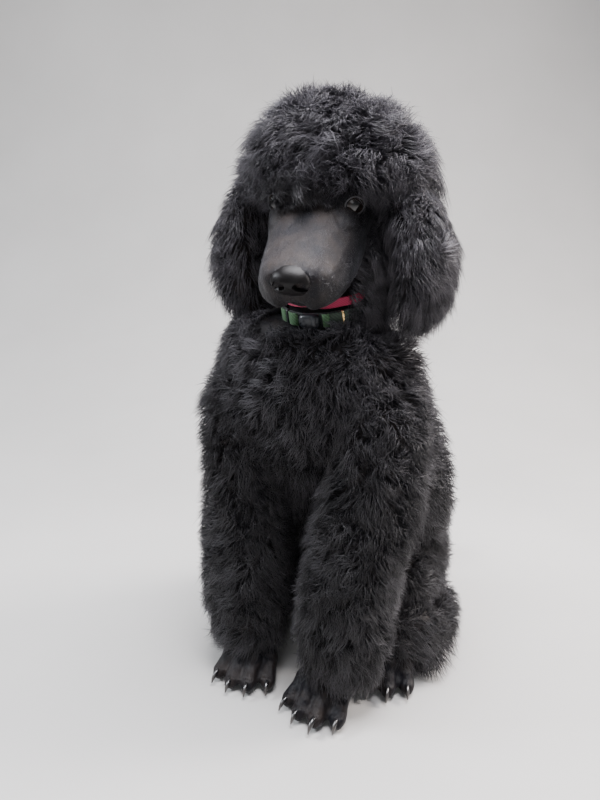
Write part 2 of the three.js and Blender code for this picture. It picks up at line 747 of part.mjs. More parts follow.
// Each limb takes what lies in its own room of the body, and the torso keeps the rest
const half = gap / 2;
const rooms = {
  foreleg_left: { low: [legSplitX, -200, -5], high: [200, 200, elbowHeight], side: flipped(legCut) },
  foreleg_right: { low: [-200, -200, -5], high: [legSplitX, 200, elbowHeight], side: flipped(legCut) },
  hindleg_left: { low: [hindSplitX, -200, -5], high: [220, tailStart, kneeHeight], side: legCut },
  hindleg_right: { low: [-220, -200, -5], high: [-hindSplitX, tailStart, kneeHeight], side: legCut },
  tail: { low: [-90, tailStart, -5], high: [150, 460, 200], side: legCut },
};
const room = ({ low, high, side }, margin) =>
  keep(block(low.map((n) => n + margin), high.map((n) => n - margin)), side, margin);

const body = keep(bodyWhole, flipped(neckCut));
for (const [name, place] of Object.entries(rooms)) {
  addNode(dog, name, body.intersect(room(place, half)), materials.coat);
}
const allRooms = join(Object.values(rooms).map((place) => room(place, -half)));
addNode(dog, "torso", body.subtract(allRooms), materials.coat);

for (const [name, [made, material]] of Object.entries(collarPieces())) {
  addNode(collarGroup, name, made, material);
}

addNode(loopGroup, "neck_loop", band(0, loopBand.thick, loopBand.tall), materials.loop);

dog.add(headGroup, collarGroup, loopGroup);

// The origin is on the floor under the middle of the dog
dog.updateMatrixWorld(true);
const middle = new THREE.Box3().setFromObject(dog, true).getCenter(vector());
dog.position.set(-Math.round(middle.x), -Math.round(middle.y), 0);

export default dog;
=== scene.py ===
# %% [markdown]
# A sitting standard poodle puppy, life size.
# Black dogs are hard to model: nearly all that the eye reads is the light that catches single
# locks of hair. So most of this lesson grows a coat of real mesh, lock by lock, over a plain skin.
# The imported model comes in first. It is the fixed frame, and its box is kept to measure against.

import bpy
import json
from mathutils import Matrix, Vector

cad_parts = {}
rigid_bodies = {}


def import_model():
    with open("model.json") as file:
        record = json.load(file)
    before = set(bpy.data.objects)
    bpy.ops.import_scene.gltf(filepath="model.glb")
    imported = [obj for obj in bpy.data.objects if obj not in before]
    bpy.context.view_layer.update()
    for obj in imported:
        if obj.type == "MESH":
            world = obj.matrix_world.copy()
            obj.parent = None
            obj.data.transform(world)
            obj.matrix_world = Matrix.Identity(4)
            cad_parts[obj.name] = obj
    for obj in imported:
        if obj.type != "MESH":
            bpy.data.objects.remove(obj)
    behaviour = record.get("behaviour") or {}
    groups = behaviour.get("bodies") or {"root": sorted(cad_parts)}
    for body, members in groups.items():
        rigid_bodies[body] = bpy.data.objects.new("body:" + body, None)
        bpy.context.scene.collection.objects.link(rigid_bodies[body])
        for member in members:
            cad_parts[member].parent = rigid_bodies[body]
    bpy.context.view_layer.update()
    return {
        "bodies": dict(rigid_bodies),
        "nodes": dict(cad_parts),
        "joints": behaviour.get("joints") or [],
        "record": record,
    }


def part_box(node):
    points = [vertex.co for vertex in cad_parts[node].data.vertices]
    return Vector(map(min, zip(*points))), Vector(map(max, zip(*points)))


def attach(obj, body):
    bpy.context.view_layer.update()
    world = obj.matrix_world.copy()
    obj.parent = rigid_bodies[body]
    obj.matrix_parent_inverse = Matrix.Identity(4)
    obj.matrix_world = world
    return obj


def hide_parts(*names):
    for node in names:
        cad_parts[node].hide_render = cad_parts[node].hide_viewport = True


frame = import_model()
print("frame holds", len(frame["nodes"]), "nodes")

# %% [markdown]
# All sizes below are in millimetres in the dog's own drawing: the dog faces -Y and +X is its left.
# The frame stands the dog over its middle instead, so one shift links the two. The collar's ring is
# even all round, which makes the middle of its box the best place to read that shift from.

# %% Units and the shift between the drawing and the frame
import json
import math

import bmesh
import bpy
import numpy as np
from mathutils import Matrix, Vector, kdtree

MM = 0.001
collar_at = Vector((13, 36, 435))
strap_low, strap_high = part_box("collar_strap")
measured = (strap_low + strap_high) / (2 * MM)
shift = Vector(round(n) for n in measured - collar_at)
body_name = next(iter(frame["bodies"]))
print("shift in mm", tuple(shift), "- pieces ride on", body_name)

# %% [markdown]
# The camera stands where the photo was taken from: at the height of the dog's throat, to its left,
# looking a little down. Its place was fitted until paws, head and outline fell where the
# photo shows them.

# %% Camera
camera_at = Vector((257, -564, 470))
camera_turn = 25
camera_pitch = -12.5
focal_pixels = 602
long_side_pixels = 800
sensor = 36

camera_data = bpy.data.cameras.new("camera")
camera_data.sensor_width = sensor
camera_data.lens = sensor * focal_pixels / long_side_pixels
camera_data.clip_start = 0.02
camera = bpy.data.objects.new("camera", camera_data)
bpy.context.scene.collection.objects.link(camera)
camera.location = (camera_at + shift) * MM
camera.rotation_euler = (math.radians(90 + camera_pitch), 0, math.radians(camera_turn))
bpy.context.scene.camera = camera
print("camera at", [round(n, 3) for n in camera.location], "lens", round(camera_data.lens, 1))

# %% [markdown]
# A few helpers come first. One makes a piece from corners and faces, drawn in millimetres and kept in
# metres. The others build a finish: a shader with even values, a noise, a ramp from a dark colour to
# a light one, and a bump. So each finish further down reads as a short list of what it is made of.

# %% Helpers for pieces and finishes
def add_piece(name, corners, faces, material):
    """A mesh object in metres at the origin, from corners in the drawing's millimetres."""
    mesh = bpy.data.meshes.new(name)
    mesh.from_pydata(((np.asarray(corners, float) + np.array(shift)) * MM).tolist(), [], faces)
    mesh.validate()
    mesh.polygons.foreach_set("use_smooth", [True] * len(mesh.polygons))
    if material:
        mesh.materials.append(material)
    made = bpy.data.objects.new(name, mesh)
    bpy.context.scene.collection.objects.link(made)
    return made


def principled(name, **sockets):
    """A material whose shader holds the given even values, with its nodes and links at hand."""
    material = bpy.data.materials.new(name)
    material.use_nodes = True
    shader = material.node_tree.nodes["Principled BSDF"]
    for socket, value in sockets.items():
        shader.inputs[socket.replace("_", " ")].default_value = value
    return material, shader


def add_node(material, kind, **values):
    """A shader node. A value goes to the input of that name, or else to the node's own setting."""
    node = material.node_tree.nodes.new(kind)
    for name, value in values.items():
        socket = node.inputs.get(name.replace("_", " "))
        if socket is not None:
            socket.default_value = value
        else:
            setattr(node, name, value)
    return node


def link(material, output, socket):
    material.node_tree.links.new(output, socket)


def object_place(material, scale=(1, 1, 1)):
    """The place on the piece in metres, stretched by a scale."""
    place = add_node(material, "ShaderNodeTexCoord")
    mapping = add_node(material, "ShaderNodeMapping", Scale=scale)
    link(material, place.outputs["Object"], mapping.inputs["Vector"])
    return mapping.outputs["Vector"]


def noise(material, place, scale, detail=4.0, rough=0.55):
    node = add_node(material, "ShaderNodeTexNoise", Scale=scale, Detail=detail, Roughness=rough)
    link(material, place, node.inputs["Vector"])
    return node.outputs["Fac"]


def blend_colours(material, factor, dark, light, low=0.3, high=0.7):
    """A ramp from dark to light over part of a factor."""
    ramp = add_node(material, "ShaderNodeValToRGB")
    ramp.color_ramp.elements[0].position = low
    ramp.color_ramp.elements[1].position = high
    ramp.color_ramp.elements[0].color = (*dark, 1)
    ramp.color_ramp.elements[1].color = (*light, 1)
    link(material, factor, ramp.inputs["Fac"])
    return ramp.outputs["Color"]


def bump(material, shader, height, strength, distance, below=None):
    node = add_node(material, "ShaderNodeBump", Strength=strength, Distance=distance)
    link(material, height, node.inputs["Height"])
    if below is not None:
        link(material, below, node.inputs["Normal"])
    link(material, node.outputs["Normal"], shader.inputs["Normal"])
    return node.outputs["Normal"]


def ranged(material, value, low, high, start=0.0, end=1.0, smooth=False):
    """A value brought to run from low to high while it goes from start to end."""
    node = add_node(material, "ShaderNodeMapRange", From_Min=start, From_Max=end, To_Min=low, To_Max=high)
    node.interpolation_type = "SMOOTHSTEP" if smooth else "LINEAR"
    link(material, value, node.inputs["Value"])
    return node.outputs["Result"]


def mixed(material, factor, first, second):
    """The colour between two others: the first where the factor is 0, the second where it is 1."""
    node = add_node(material, "ShaderNodeMix", data_type="RGBA")
    link(material, factor, node.inputs["Factor"])
    for colour, socket in ((first, node.inputs[6]), (second, node.inputs[7])):
        if isinstance(colour, tuple):
            socket.default_value = (*colour, 1)
        else:
            link(material, colour, socket)
    return node.outputs[2]


def height_above_floor(material):
    """How high a place on the piece lies, in metres."""
    split = add_node(material, "ShaderNodeSeparateXYZ")
    link(material, object_place(material), split.inputs[0])
    return split.outputs["Z"]


print("helpers for pieces and finishes are ready")

# %% [markdown]
# A studio needs no more than a pale floor that sweeps up into a wall, so that no line crosses behind
# the dog. The sweep is one profile, drawn once and stretched sideways.

# %% Studio floor
def studio_floor():
    reach, front, wall_y, bend, top = 3500, -3500, 1900, 1300, 3600
    arc = [math.radians(a) for a in range(0, 91, 5)]
    profile = [(front, 0)]
    profile += [(wall_y - bend + bend * math.sin(a), bend - bend * math.cos(a)) for a in arc]
    profile += [(wall_y, top)]
    corners = [(x, y, z) for y, z in profile for x in (-reach, reach)]
    faces = [(2 * i, 2 * i + 1, 2 * i + 3, 2 * i + 2) for i in range(len(profile) - 1)]
    material, shader = principled("studio_paper", Roughness=0.85)
    tone = noise(material, object_place(material), 3.0)
    colour = blend_colours(material, tone, (0.5, 0.49, 0.475), (0.54, 0.53, 0.515))
    link(material, colour, shader.inputs["Base Color"])
    floor = add_piece("studio_floor", corners, faces, material)
    floor.rotation_euler = (0, 0, math.radians(camera_turn))
    return floor


floor = studio_floor()
print("floor and wall in one sweep of", len(floor.data.polygons), "faces")

# %% [markdown]
# Large lamps close by give soft light. One hangs over the dog, as in the photo, where the top of the
# head and the bridge of the nose are pale and the legs nearly black. A cool one stands at its right
# front, a warm one behind its left side draws the rim along the coat, and a weak one in front keeps
# the chest from going all black.

# %% Light
def soft_lamp(name, at, aim, size, power, colour):
    lamp = bpy.data.lights.new(name, "AREA")
    lamp.shape = "DISK"
    lamp.size = size
    lamp.energy = power
    lamp.color = colour
    lamp_object = bpy.data.objects.new(name, lamp)
    bpy.context.scene.collection.objects.link(lamp_object)
    lamp_object.location = at
    lamp_object.rotation_euler = (Vector(aim) - Vector(at)).to_track_quat("-Z", "Y").to_euler()
    return lamp_object


dog_middle = (0.0, -0.05, 0.45)
soft_lamp("ceiling_light", (0.15, -0.2, 1.4), dog_middle, 0.9, 60, (0.97, 0.96, 1.0))
soft_lamp("window_light", (-1.65, -0.8, 1.45), dog_middle, 0.8, 48, (0.9, 0.94, 1.0))
soft_lamp("side_light", (1.3, 0.75, 1.2), dog_middle, 0.7, 62, (1.0, 0.93, 0.9))
soft_lamp("front_light", (0.6, -1.9, 0.95), dog_middle, 1.0, 4, (0.96, 0.98, 1.0))
world = bpy.data.worlds.new("studio")
world.use_nodes = True
world.node_tree.nodes["Background"].inputs["Color"].default_value = (0.9, 0.93, 1.0, 1)
world.node_tree.nodes["Background"].inputs["Strength"].default_value = 0.3
bpy.context.scene.world = world
print("four soft lamps and an even sky")

# %% [markdown]
# Every part of the body is a loft: a smooth path with a rounded section that swells and narrows along
# it. A loft has few numbers, and each is a size that can be read off a photo. A row gives the middle
# of a section, its half width, and its depth to the front or top and to the back or underside.

# %% Lofts
def through(rows, places):
    """A smooth curve through the rows, read at places from 0 to 1."""
    rows = np.asarray(rows, float)
    last = len(rows) - 1
    ends = np.vstack([2 * rows[0] - rows[1], rows, 2 * rows[-1] - rows[-2]])
    t = np.clip(np.asarray(places, float) * last, 0, last - 1e-9)
    i = t.astype(int)
    f = (t - i)[:, None]
    a, b, c, d = (ends[i + k] for k in range(4))
    return 0.5 * (2 * b + (c - a) * f + (2 * a - 5 * b + 4 * c - d) * f**2 + (3 * b - a - 3 * c + d) * f**3)


def squared_off(turns, power):
    """Cosines or sines pushed outwards, so that a round section becomes a rounded square."""
    return np.sign(turns) * np.abs(turns) ** power


def band_faces(rings, around, closed=True, turned=False):
    """Four-sided faces between neighbouring rings of corners. Turned ones face the other way."""
    faces = []
    for i in range(rings if closed else rings - 1):
        after = (i + 1) % rings * around
        for k in range(around):
            beside = (k + 1) % around
            face = (i * around + k, i * around + beside, after + beside, after + k)
            faces.append((face[0], face[3], face[2], face[1]) if turned else face)
    return faces


def loft(rows, caps=(0, 0), drawn_in=0, square=2.0, facing=None, across=(1, 0, 0), around=36, steps=6):
    """Corners and faces of a closed form through the rows, drawn in from them by a depth."""
    rows = np.array(rows, float)
    least = 3.0
    for end, near, cap in ((0, 1, caps[0]), (-1, -2, caps[1])):
        way = rows[near, :3] - rows[end, :3]
        short = max(drawn_in + least - cap, 0) if drawn_in else 0
        rows[end, :3] += way / np.linalg.norm(way) * short
    rows[:, 3:] -= drawn_in
    caps = [max(cap - drawn_in, least if drawn_in else 0.01) for cap in caps]
    count = (len(rows) - 1) * steps + 1
    places = np.linspace(0, 1, count)
    centres, sizes = through(rows[:, :3], places), through(rows[:, 3:], places)
    if facing is None:
        tangents = np.gradient(centres, axis=0)
    else:
        tangents = np.tile(np.array(facing, float), (count, 1))
    tangents /= np.linalg.norm(tangents, axis=1, keepdims=True)
    rounds = np.radians([72, 54, 36, 18])
    shifts = np.concatenate([-caps[0] * np.sin(rounds), np.zeros(count), caps[1] * np.sin(rounds[::-1])])
    scales = np.concatenate([np.cos(rounds), np.ones(count), np.cos(rounds[::-1])])
    capped = len(rounds)
    index = np.concatenate([np.zeros(capped, int), np.arange(count), np.full(capped, count - 1)])
    tangent = tangents[index]
    centre = centres[index] + tangent * shifts[:, None]
    size = sizes[index] * scales[:, None]
    side = np.array(across, float) - tangent * (tangent @ np.array(across, float))[:, None]
    side /= np.linalg.norm(side, axis=1, keepdims=True)
    up = np.cross(side, tangent)
    angle = 2 * np.pi * np.arange(around) / around
    x, y = (squared_off(turns, 2 / square) for turns in (np.cos(angle), np.sin(angle)))
    width = x[None, :] * size[:, :1]
    depth = np.where(y[None, :] > 0, size[:, 1:2], size[:, 2:3]) * y[None, :]
    rings = centre[:, None] + side[:, None] * width[..., None] + up[:, None] * depth[..., None]
    poles = [centres[0] - tangents[0] * caps[0], centres[-1] + tangents[-1] * caps[1]]
    corners = np.vstack([rings.reshape(-1, 3), poles])
    total = len(index)
    faces = band_faces(total, around, closed=False, turned=True)
    start, end, top = total * around, total * around + 1, (total - 1) * around
    faces += [(start, k, (k + 1) % around) for k in range(around)]
    faces += [(end, top + (k + 1) % around, top + k) for k in range(around)]
    return corners, faces


def moved(form, matrix):
    corners, faces = form
    turned = np.array(matrix.to_3x3()) @ np.asarray(corners).T
    return turned.T + np.array(matrix.translation), faces


def joined(forms):
    """Several forms as one list of corners and faces."""
    corners, faces, start = [], [], 0
    for some, own in forms:
        corners.append(np.asarray(some, float))
        faces += [tuple(start + i for i in face) for face in own]
        start += len(some)
    return np.vstack(corners), faces


def fused(forms, voxel, smoothing=4):
    """One closed skin round forms that cross, from a voxel remesh, and smoothed."""
    rough = add_piece("rough", *joined(forms), None)
    remesh = rough.modifiers.new("remesh", "REMESH")
    remesh.mode = "VOXEL"
    remesh.voxel_size = voxel * MM
    soften = rough.modifiers.new("soften", "SMOOTH")
    soften.factor = 0.5
    soften.iterations = smoothing
    evaluated = rough.evaluated_get(bpy.context.evaluated_depsgraph_get())
    mesh = bpy.data.meshes.new_from_object(evaluated)
    bpy.data.objects.remove(rough)
    corners = np.empty(len(mesh.vertices) * 3)
    mesh.vertices.foreach_get("co", corners)
    corners = corners.reshape(-1, 3) / MM - np.array(shift)
    faces = np.empty(len(mesh.polygons) * 4, int)
    mesh.polygons.foreach_get("vertices", faces)
    bpy.data.meshes.remove(mesh)
    return corners, faces.reshape(-1, 4)


def unit(rows):
    return rows / np.maximum(np.linalg.norm(rows, axis=1, keepdims=True), 1e-9)


def normals_of(corners, faces):
    """A unit normal at each corner of a mesh of four-sided faces."""
    a, b, c, d = (corners[faces[:, k]] for k in range(4))
    flat = np.cross(c - a, d - b)
    normals = np.zeros_like(corners)
    for k in range(4):
        np.add.at(normals, faces[:, k], flat)
    return unit(normals)


print("lofts are ready")

# %% [markdown]
# The body under the hair. The outlines below run over the tips of the coat, because those can be
# measured in the photo. The skin is the same forms drawn in by the depth of the hair. A voxel remesh
# melts the crossing lofts into one surface, so no seam shows where a leg meets the chest.

# %% Sizes of the body at the tips of the coat
head_centre_x = 16
crown_height = 640
withers_height = 420
fore_paws = {1: (38, -37), -1: (-60, -22)}
hind_paws = {1: (84, 36), -1: (-104, 66)}
hair_depth = {"crown": 25, "ear": 15, "neck": 20, "body": 21, "foreleg": 17, "hindleg": 18, "tail": 18}

torso_outline = [
    (0, 178, 22, 98, 70, 92),
    (0, 172, 80, 118, 84, 96),
    (-2, 140, 165, 144, 92, 92),
    (-3, 100, 250, 149, 110, 88),
    (-3, 50, 330, 132, 98, 88),
    (0, 38, withers_height - 32, 123, 88, 80),
    (5, 38, withers_height + 6, 104, 68, 66),
]
neck_outline = [
    (9, 38, withers_height, 74, 60, 76),
    (13, 40, 448, 74, 54, 78),
    (15, 46, 486, 82, 52, 76),
    (16, 50, 528, 84, 58, 74),
]
tail_outline = [
    (4, 262, 46, 34, 34, 40),
    (10, 290, 40, 30, 28, 36),
    (22, 322, 44, 44, 42, 46),
    (34, 352, 46, 44, 42, 48),
]
crown_outline = [
    (head_centre_x, 34, 526, 90, 66, 80),
    (head_centre_x + 2, 34, 550, 109, 84, 84),
    (head_centre_x + 2, 34, 578, 106, 87, 86),
    (head_centre_x - 4, 34, 604, 84, 73, 70),
    (head_centre_x - 9, 34, crown_height - 15, 62, 54, 54),
]


def foreleg_outline(side):
    x, y = fore_paws[side]
    out = 12 if side > 0 else -11
    return [
        (x + out, y + 18, 46, 57, 48, 46),
        (x + out * 1.25, y + 18, 90, 60, 50, 50),
        (x * 0.74 + side * 19 + out, y * 0.6 + 14, 160, 61, 54, 54),
        (side * 74 - 2, 14, 235, 59, 58, 58),
        (side * 77 - 4, 20, 300, 60, 60, 60),
        (side * 76 - 4, 26, 342, 54, 56, 56),
    ]


def thigh_outline(side):
    return [
        (side * 81, 86, 100, 50, 60, 60),
        (side * 82, 140, 112, 58, 72, 72),
        (side * 60, 205, 98, 56, 70, 66),
    ]


def instep_rows(side):
    return [
        (side * 86, 46, 36, 22, 20, 18),
        (side * 96, 66, 44, 32, 28, 24),
        (side * 104, 90, 48, 34, 32, 26),
    ]


def pastern_outline(side):
    return [
        (side * 108, 58, 30, 50, 42, 40),
        (side * 110, 122, 34, 50, 44, 40),
        (side * 102, 182, 36, 46, 42, 40),
    ]


def ear_outline(side):
    drop = -4 if side > 0 else 4
    near = 3 if side > 0 else 4
    upper, root = (80, 68) if side > 0 else (85, 71)

    def x(out):
        return head_centre_x + side * (out + 4) - near

    return [
        (x(85), 36, 420 + drop, 28, 42, 42),
        (x(93), 34, 452 + drop, 34, 54, 50),
        (x(93), 34, 492 + drop, 37, 56, 50),
        (x(upper), 36, 530 + drop, 35, 50, 46),
        (x(root), 38, 562 + drop, 31, 42, 38),
    ]


def ear_fold_rows(side):
    return [
        (head_centre_x + side * 58, 56, 470, 14, 18, 16),
        (head_centre_x + side * 63, 50, 545, 14, 20, 16),
    ]


throat_rows = [
    (10, 40, 385, 42, 46, 40),
    (13, 38, 432, 44, 50, 46),
    (15, 36, 462, 42, 50, 46),
    (17, 32, 500, 40, 44, 44),
]
collar_pitch = 18
collar_turn = np.array(Matrix.Rotation(math.radians(collar_pitch), 3, "X"))
upright = (0, 0, 1)


def in_collar_frame(points):
    """Points as seen from the collar: across, back and up along its own lean."""
    return (points - np.array(collar_at)) @ collar_turn


def pinched(points):
    """Draws the neck in under the collar and the loop, which lie snug in the coat."""
    half_width, half_depth = 46, 49
    middle, reach, fade = 8, 26, 12
    farthest, blend = 1.5, 0.1
    local = in_collar_frame(points)
    past = np.maximum(np.hypot(local[:, 0] / half_width, local[:, 1] / half_depth), 1)
    level = np.clip((reach - np.abs(local[:, 2] - middle)) / fade, 0, 1)
    held = level * np.clip((farthest - past) / blend, 0, 1)
    local[:, :2] *= (1 - held * (1 - 1 / past))[:, None]
    return local @ collar_turn.T + np.array(collar_at)


def coated(outline, kind, caps, facing=None):
    return loft(outline, caps, drawn_in=hair_depth[kind], facing=facing)


body_forms = [
    coated(torso_outline, "body", (16, 6)),
    coated(neck_outline, "neck", (8, 2)),
    loft(throat_rows, (10, 10)),
    coated(tail_outline, "tail", (20, 30)),
    coated(crown_outline, "crown", (4, 20), upright),
]
for side in (1, -1):
    body_forms += [
        coated(foreleg_outline(side), "foreleg", (24, 30)),
        loft(instep_rows(side), (8, 8)),
        coated(thigh_outline(side), "hindleg", (36, 36)),
        coated(pastern_outline(side), "hindleg", (20, 22)),
        coated(ear_outline(side), "ear", (14, 6), upright),
        loft(ear_fold_rows(side), (8, 8)),
    ]
rough_skin = fused(body_forms, voxel=5.5, smoothing=5)
body_skin = pinched(rough_skin[0]), rough_skin[1]
clear_of_floor = 1.0
body_skin[0][:, 2] = np.maximum(body_skin[0][:, 2], clear_of_floor)
print("body skin has", len(body_skin[1]), "faces")

# %% [markdown]
# The face is shaved, so its skin shows and gets the finest work. It is drawn level in a frame of its
# own, with the eyes near the origin and the muzzle along -Y, and is turned to its tilt afterwards.
# The lofts give the big planes: skull, long straight muzzle, loose upper lips, chin and cheeks.

# %% Forms of the head
head_turn = {"yaw": 8, "pitch": 37, "roll": 4}
eyes_at = Vector((19, -16, 528))
head_frame = (
    Matrix.Translation(eyes_at)
    @ Matrix.Rotation(math.radians(head_turn["yaw"]), 4, "Z")
    @ Matrix.Rotation(math.radians(head_turn["pitch"]), 4, "X")
    @ Matrix.Rotation(math.radians(head_turn["roll"]), 4, "Y")
)
eye_radius = 11.5
muzzle_tip = -105

skull_rows = [
    (0, -14, -3, 34, 14, 28),
    (0, 14, 2, 46, 26, 36),
    (0, 45, 4, 46, 31, 38),
    (0, 76, 4, 40, 26, 32),
]
muzzle_rows = [
    (0, muzzle_tip + 1, -18, 26, 20, 15),
    (0, muzzle_tip + 12, -18, 32, 21.5, 18),
    (0, muzzle_tip + 24, -18, 35, 21.5, 21),
    (0, muzzle_tip + 48, -17, 38, 21, 26),
    (0, muzzle_tip + 76, -14, 41, 21, 30),
    (0, muzzle_tip + 108, -10, 45, 22, 36),
]
jaw_rows = [
    (0, -86, -46, 18, 10, 9),
    (0, -58, -50, 25, 11, 10),
    (0, -24, -51, 32, 15, 12),
    (0, 22, -42, 38, 20, 16),
]


def lip_rows(side):
    return [
        (side * 10, -97, -32, 14, 12, 13),
        (side * 23, -87, -31, 14, 15, 14.5),
        (side * 31, -60, -35, 13.5, 17, 15),
        (side * 35, -26, -37, 12.5, 22, 15),
        (side * 35, 8, -33, 13, 24, 17),
    ]


def cheek_rows(side):
    return [
        (side * 27, -36, -19, 13, 13, 18),
        (side * 33, -10, -18, 14.5, 16, 24),
        (side * 36, 18, -17, 16, 18, 28),
        (side * 37, 46, -13, 14, 20, 26),
    ]


def brow_rows(side):
    return [
        (side * 17, -6, 7, 8, 6, 7),
        (side * 29, 2, 10, 9, 8, 8),
        (side * 39, 16, 7, 8, 8, 8),
    ]


def mouth_path(side):
    return [
        (side * 2, -97, -46),
        (side * 20, -88, -48),
        (side * 33, -72, -50),
        (side * 38, -44, -51.5),
        (side * 41, -16, -48),
    ]


print("the head is turned by", head_turn, "degrees about its eyes at", tuple(eyes_at))

# %% [markdown]
# An eyelid is a thin wall that wraps the ball of the eye and leaves an almond open. It is drawn in
# angles round the eye's own line of sight: the opening is wide from corner to corner and low from lid
# to lid, and the wall rolls over at its edge, as a real lid margin does.

# %% Eyelids
def eye_at(side):
    return np.array((side * 34, -2, 3), float)


def eye_frame(side):
    """Rows: outwards along the lids, up, and the line of sight."""
    sight = np.array((side * 0.52, -0.8, 0.26))
    sight /= np.linalg.norm(sight)
    across = np.cross((0, 0, 1), sight) * -side
    across /= np.linalg.norm(across)
    up = np.cross(sight, across) * -side
    tilt = math.radians(12)
    turned = across * math.cos(tilt) + up * math.sin(tilt)
    return np.array([turned, up * math.cos(tilt) - across * math.sin(tilt), sight])


def lid_opening(c, s):
    """Half the opening between the lids, as an angle, for a direction round the line of sight."""
    corner, lift, drop = math.radians(48), math.radians(39), math.radians(37)
    return 1 / math.hypot(c / corner, s / (lift if s > 0 else drop))


def lid(side, around=48):
    inner, outer, bulge, widest = eye_radius + 0.25, eye_radius + 2.0, 1.0, 2.6
    frame_rows = eye_frame(side)
    loops = []
    for k in range(around):
        turn = 2 * math.pi * k / around
        c, s = math.cos(turn), math.sin(turn)
        open_at = lid_opening(c, s)
        profile = [(inner, open_at + a) for a in (1.9, 1.2, 0.6, 0.2)]
        profile += [(inner + 0.2, open_at + 0.05), (inner + 0.9, open_at), (outer, open_at + 0.06)]
        profile += [(outer + bulge * math.sin(math.pi * a / 1.9), open_at + a) for a in (0.25, 0.6, 1.2, 1.9)]
        ring = []
        for radius, theta in profile:
            theta = min(theta, widest)
            local = (radius * math.sin(theta) * c, radius * math.sin(theta) * s, radius * math.cos(theta))
            ring.append(eye_at(side) + np.array(local) @ frame_rows)
        loops.append(ring)
    return np.array(loops).reshape(-1, 3), band_faces(around, len(loops[0]))


print("each lid is a wall of", len(lid(1)[1]), "faces")

# %% [markdown]
# After the forms are melted together, the skin is worked like clay: small moves along its normals.
# A groove follows the mouth, a crease runs under each lid, the stop between the eyes is hollowed, and
# the flesh swells a little at the lips. Each move is a path, a width and a height.

# %% Working the face
def distance_to(points, path):
    """How far each point is from a path of straight stretches."""
    path = np.asarray(path, float)
    best = np.full(len(points), np.inf)
    for a, b in zip(path[:-1], path[1:]):
        d = b - a
        t = np.clip(((points - a) @ d) / (d @ d), 0, 1)
        best = np.minimum(best, np.linalg.norm(points - a - t[:, None] * d, axis=1))
    return best


def worked(skin, moves):
    """Moves corners along their normals. A move is a path, a width and a height."""
    corners, faces = skin
    for path, width, height in moves:
        normals = normals_of(corners, faces)
        smooth_path = through(path, np.linspace(0, 1, 24)) if len(path) > 2 else path
        near = np.exp(-((distance_to(corners, smooth_path) / width) ** 2))
        corners = corners + normals * (near * height)[:, None]
    return corners, faces


def eased(skin, kept, rounds):
    """Smooths a skin, but less where it is kept, which is a number from 0 to 1 at each corner."""
    corners, faces = skin
    weight = (1 - kept)[:, None]
    shares = np.bincount(faces.ravel(), minlength=len(corners))[:, None]
    for _ in range(rounds):
        middles = corners[faces].mean(axis=1)
        sums = [np.bincount(faces.ravel(), np.repeat(middles[:, k], 4), len(corners)) for k in range(3)]
        corners = corners + weight * (np.stack(sums, axis=1) / shares - corners)
    return corners, faces


head_forms = [
    loft(skull_rows, (10, 16), around=48, steps=8),
    loft(muzzle_rows, (5, 12), square=2.7, around=48, steps=8),
    loft(jaw_rows, (5, 14), around=40, steps=8),
]
face_moves = []
for side in (1, -1):
    head_forms += [
        loft(lip_rows(side), (5, 14), around=32, steps=8),
        loft(cheek_rows(side), (8, 12), around=36, steps=8),
        loft(brow_rows(side), (6, 6), across=(0, 1, 0), around=28, steps=8),
        lid(side),
    ]
    rim = eye_at(side)
    along, up, sight = eye_frame(side)
    under = [rim + sight * 9 + along * x - up * (10.5 - x * x / 30) for x in (-11, -5, 0, 6, 11)]
    over = [rim + sight * 8 + along * x + up * (10 - x * x / 28) for x in (-10, -4, 0, 5, 11)]
    pouch_path = ((24, -25, 5), (30, -35, 1), (36, -37, -4), (41, -25, -9), (43, -6, -10))
    pouch = [(side * x, y, z) for x, y, z in pouch_path]
    tear = [rim + sight * 7 - along * 12, rim + sight * 2 - along * 17 - up * 5]
    face_moves += [
        (mouth_path(side), 1.6, -1.8),
        ([(x, y, z - 5) for x, y, z in mouth_path(side)], 3.5, 0.5),
        (under, 1.5, -1.5),
        ([p - up * 4.5 for p in under], 2.4, 0.9),
        ([p - up * 9 for p in under[1:4]], 2.2, -0.9),
        (over, 1.5, -1.2),
        (tear, 2.0, -1.8),
        (pouch, 2.4, -1.2),
        ([(side * 32, -24, 2), (side * 36, -27, -2)], 5, 1.0),
        ([(side * 24, -88, -26), (side * 30, -66, -28)], 9, 1.2),
        ([(side * 18, -16, -2), (side * 24, -42, -12), (side * 27, -62, -16)], 6, -1.3),
        ([(side * 30, -30, -12), (side * 33, -52, -20), (side * 30, -74, -22)], 5, -1.0),
        ([(side * 34, -46, -4), (side * 30, -66, -5), (side * 27, -80, -5)], 9, -3.2),
        ([(side * 8, -104, -20), (side * 21, -101, -14)], 2.2, -0.9),
    ]
face_moves += [
    ([(0, -4, 8), (0, -20, 4)], 7, -1.6),
    ([(0, 10, 26), (0, 40, 33)], 6, -1.2),
    ([(0, -112, -24), (0, -104, -34)], 1.2, -0.6),
    ([(-14, -92, -52), (0, -96, -52), (14, -92, -52)], 10, -3.4),
    ([(0, -92, -1), (0, -60, 3)], 6, 0.7),
]
face_skin = fused(head_forms, voxel=1.35, smoothing=3)
kept = 0.75 * np.exp(-((distance_to(face_skin[0], [(0, -100, 0), (0, -96, -16)]) / 20) ** 4))
for side in (1, -1):
    from_eye = np.linalg.norm(face_skin[0] - eye_at(side), axis=1)
    kept = np.maximum(kept, np.clip((21 - from_eye) / 5, 0, 0.93))
    kept = np.maximum(kept, 0.8 * np.exp(-((distance_to(face_skin[0], mouth_path(side)) / 6) ** 2)))
face_skin = worked(eased(face_skin, kept, 15), face_moves)
print("face skin has", len(face_skin[1]), "faces")

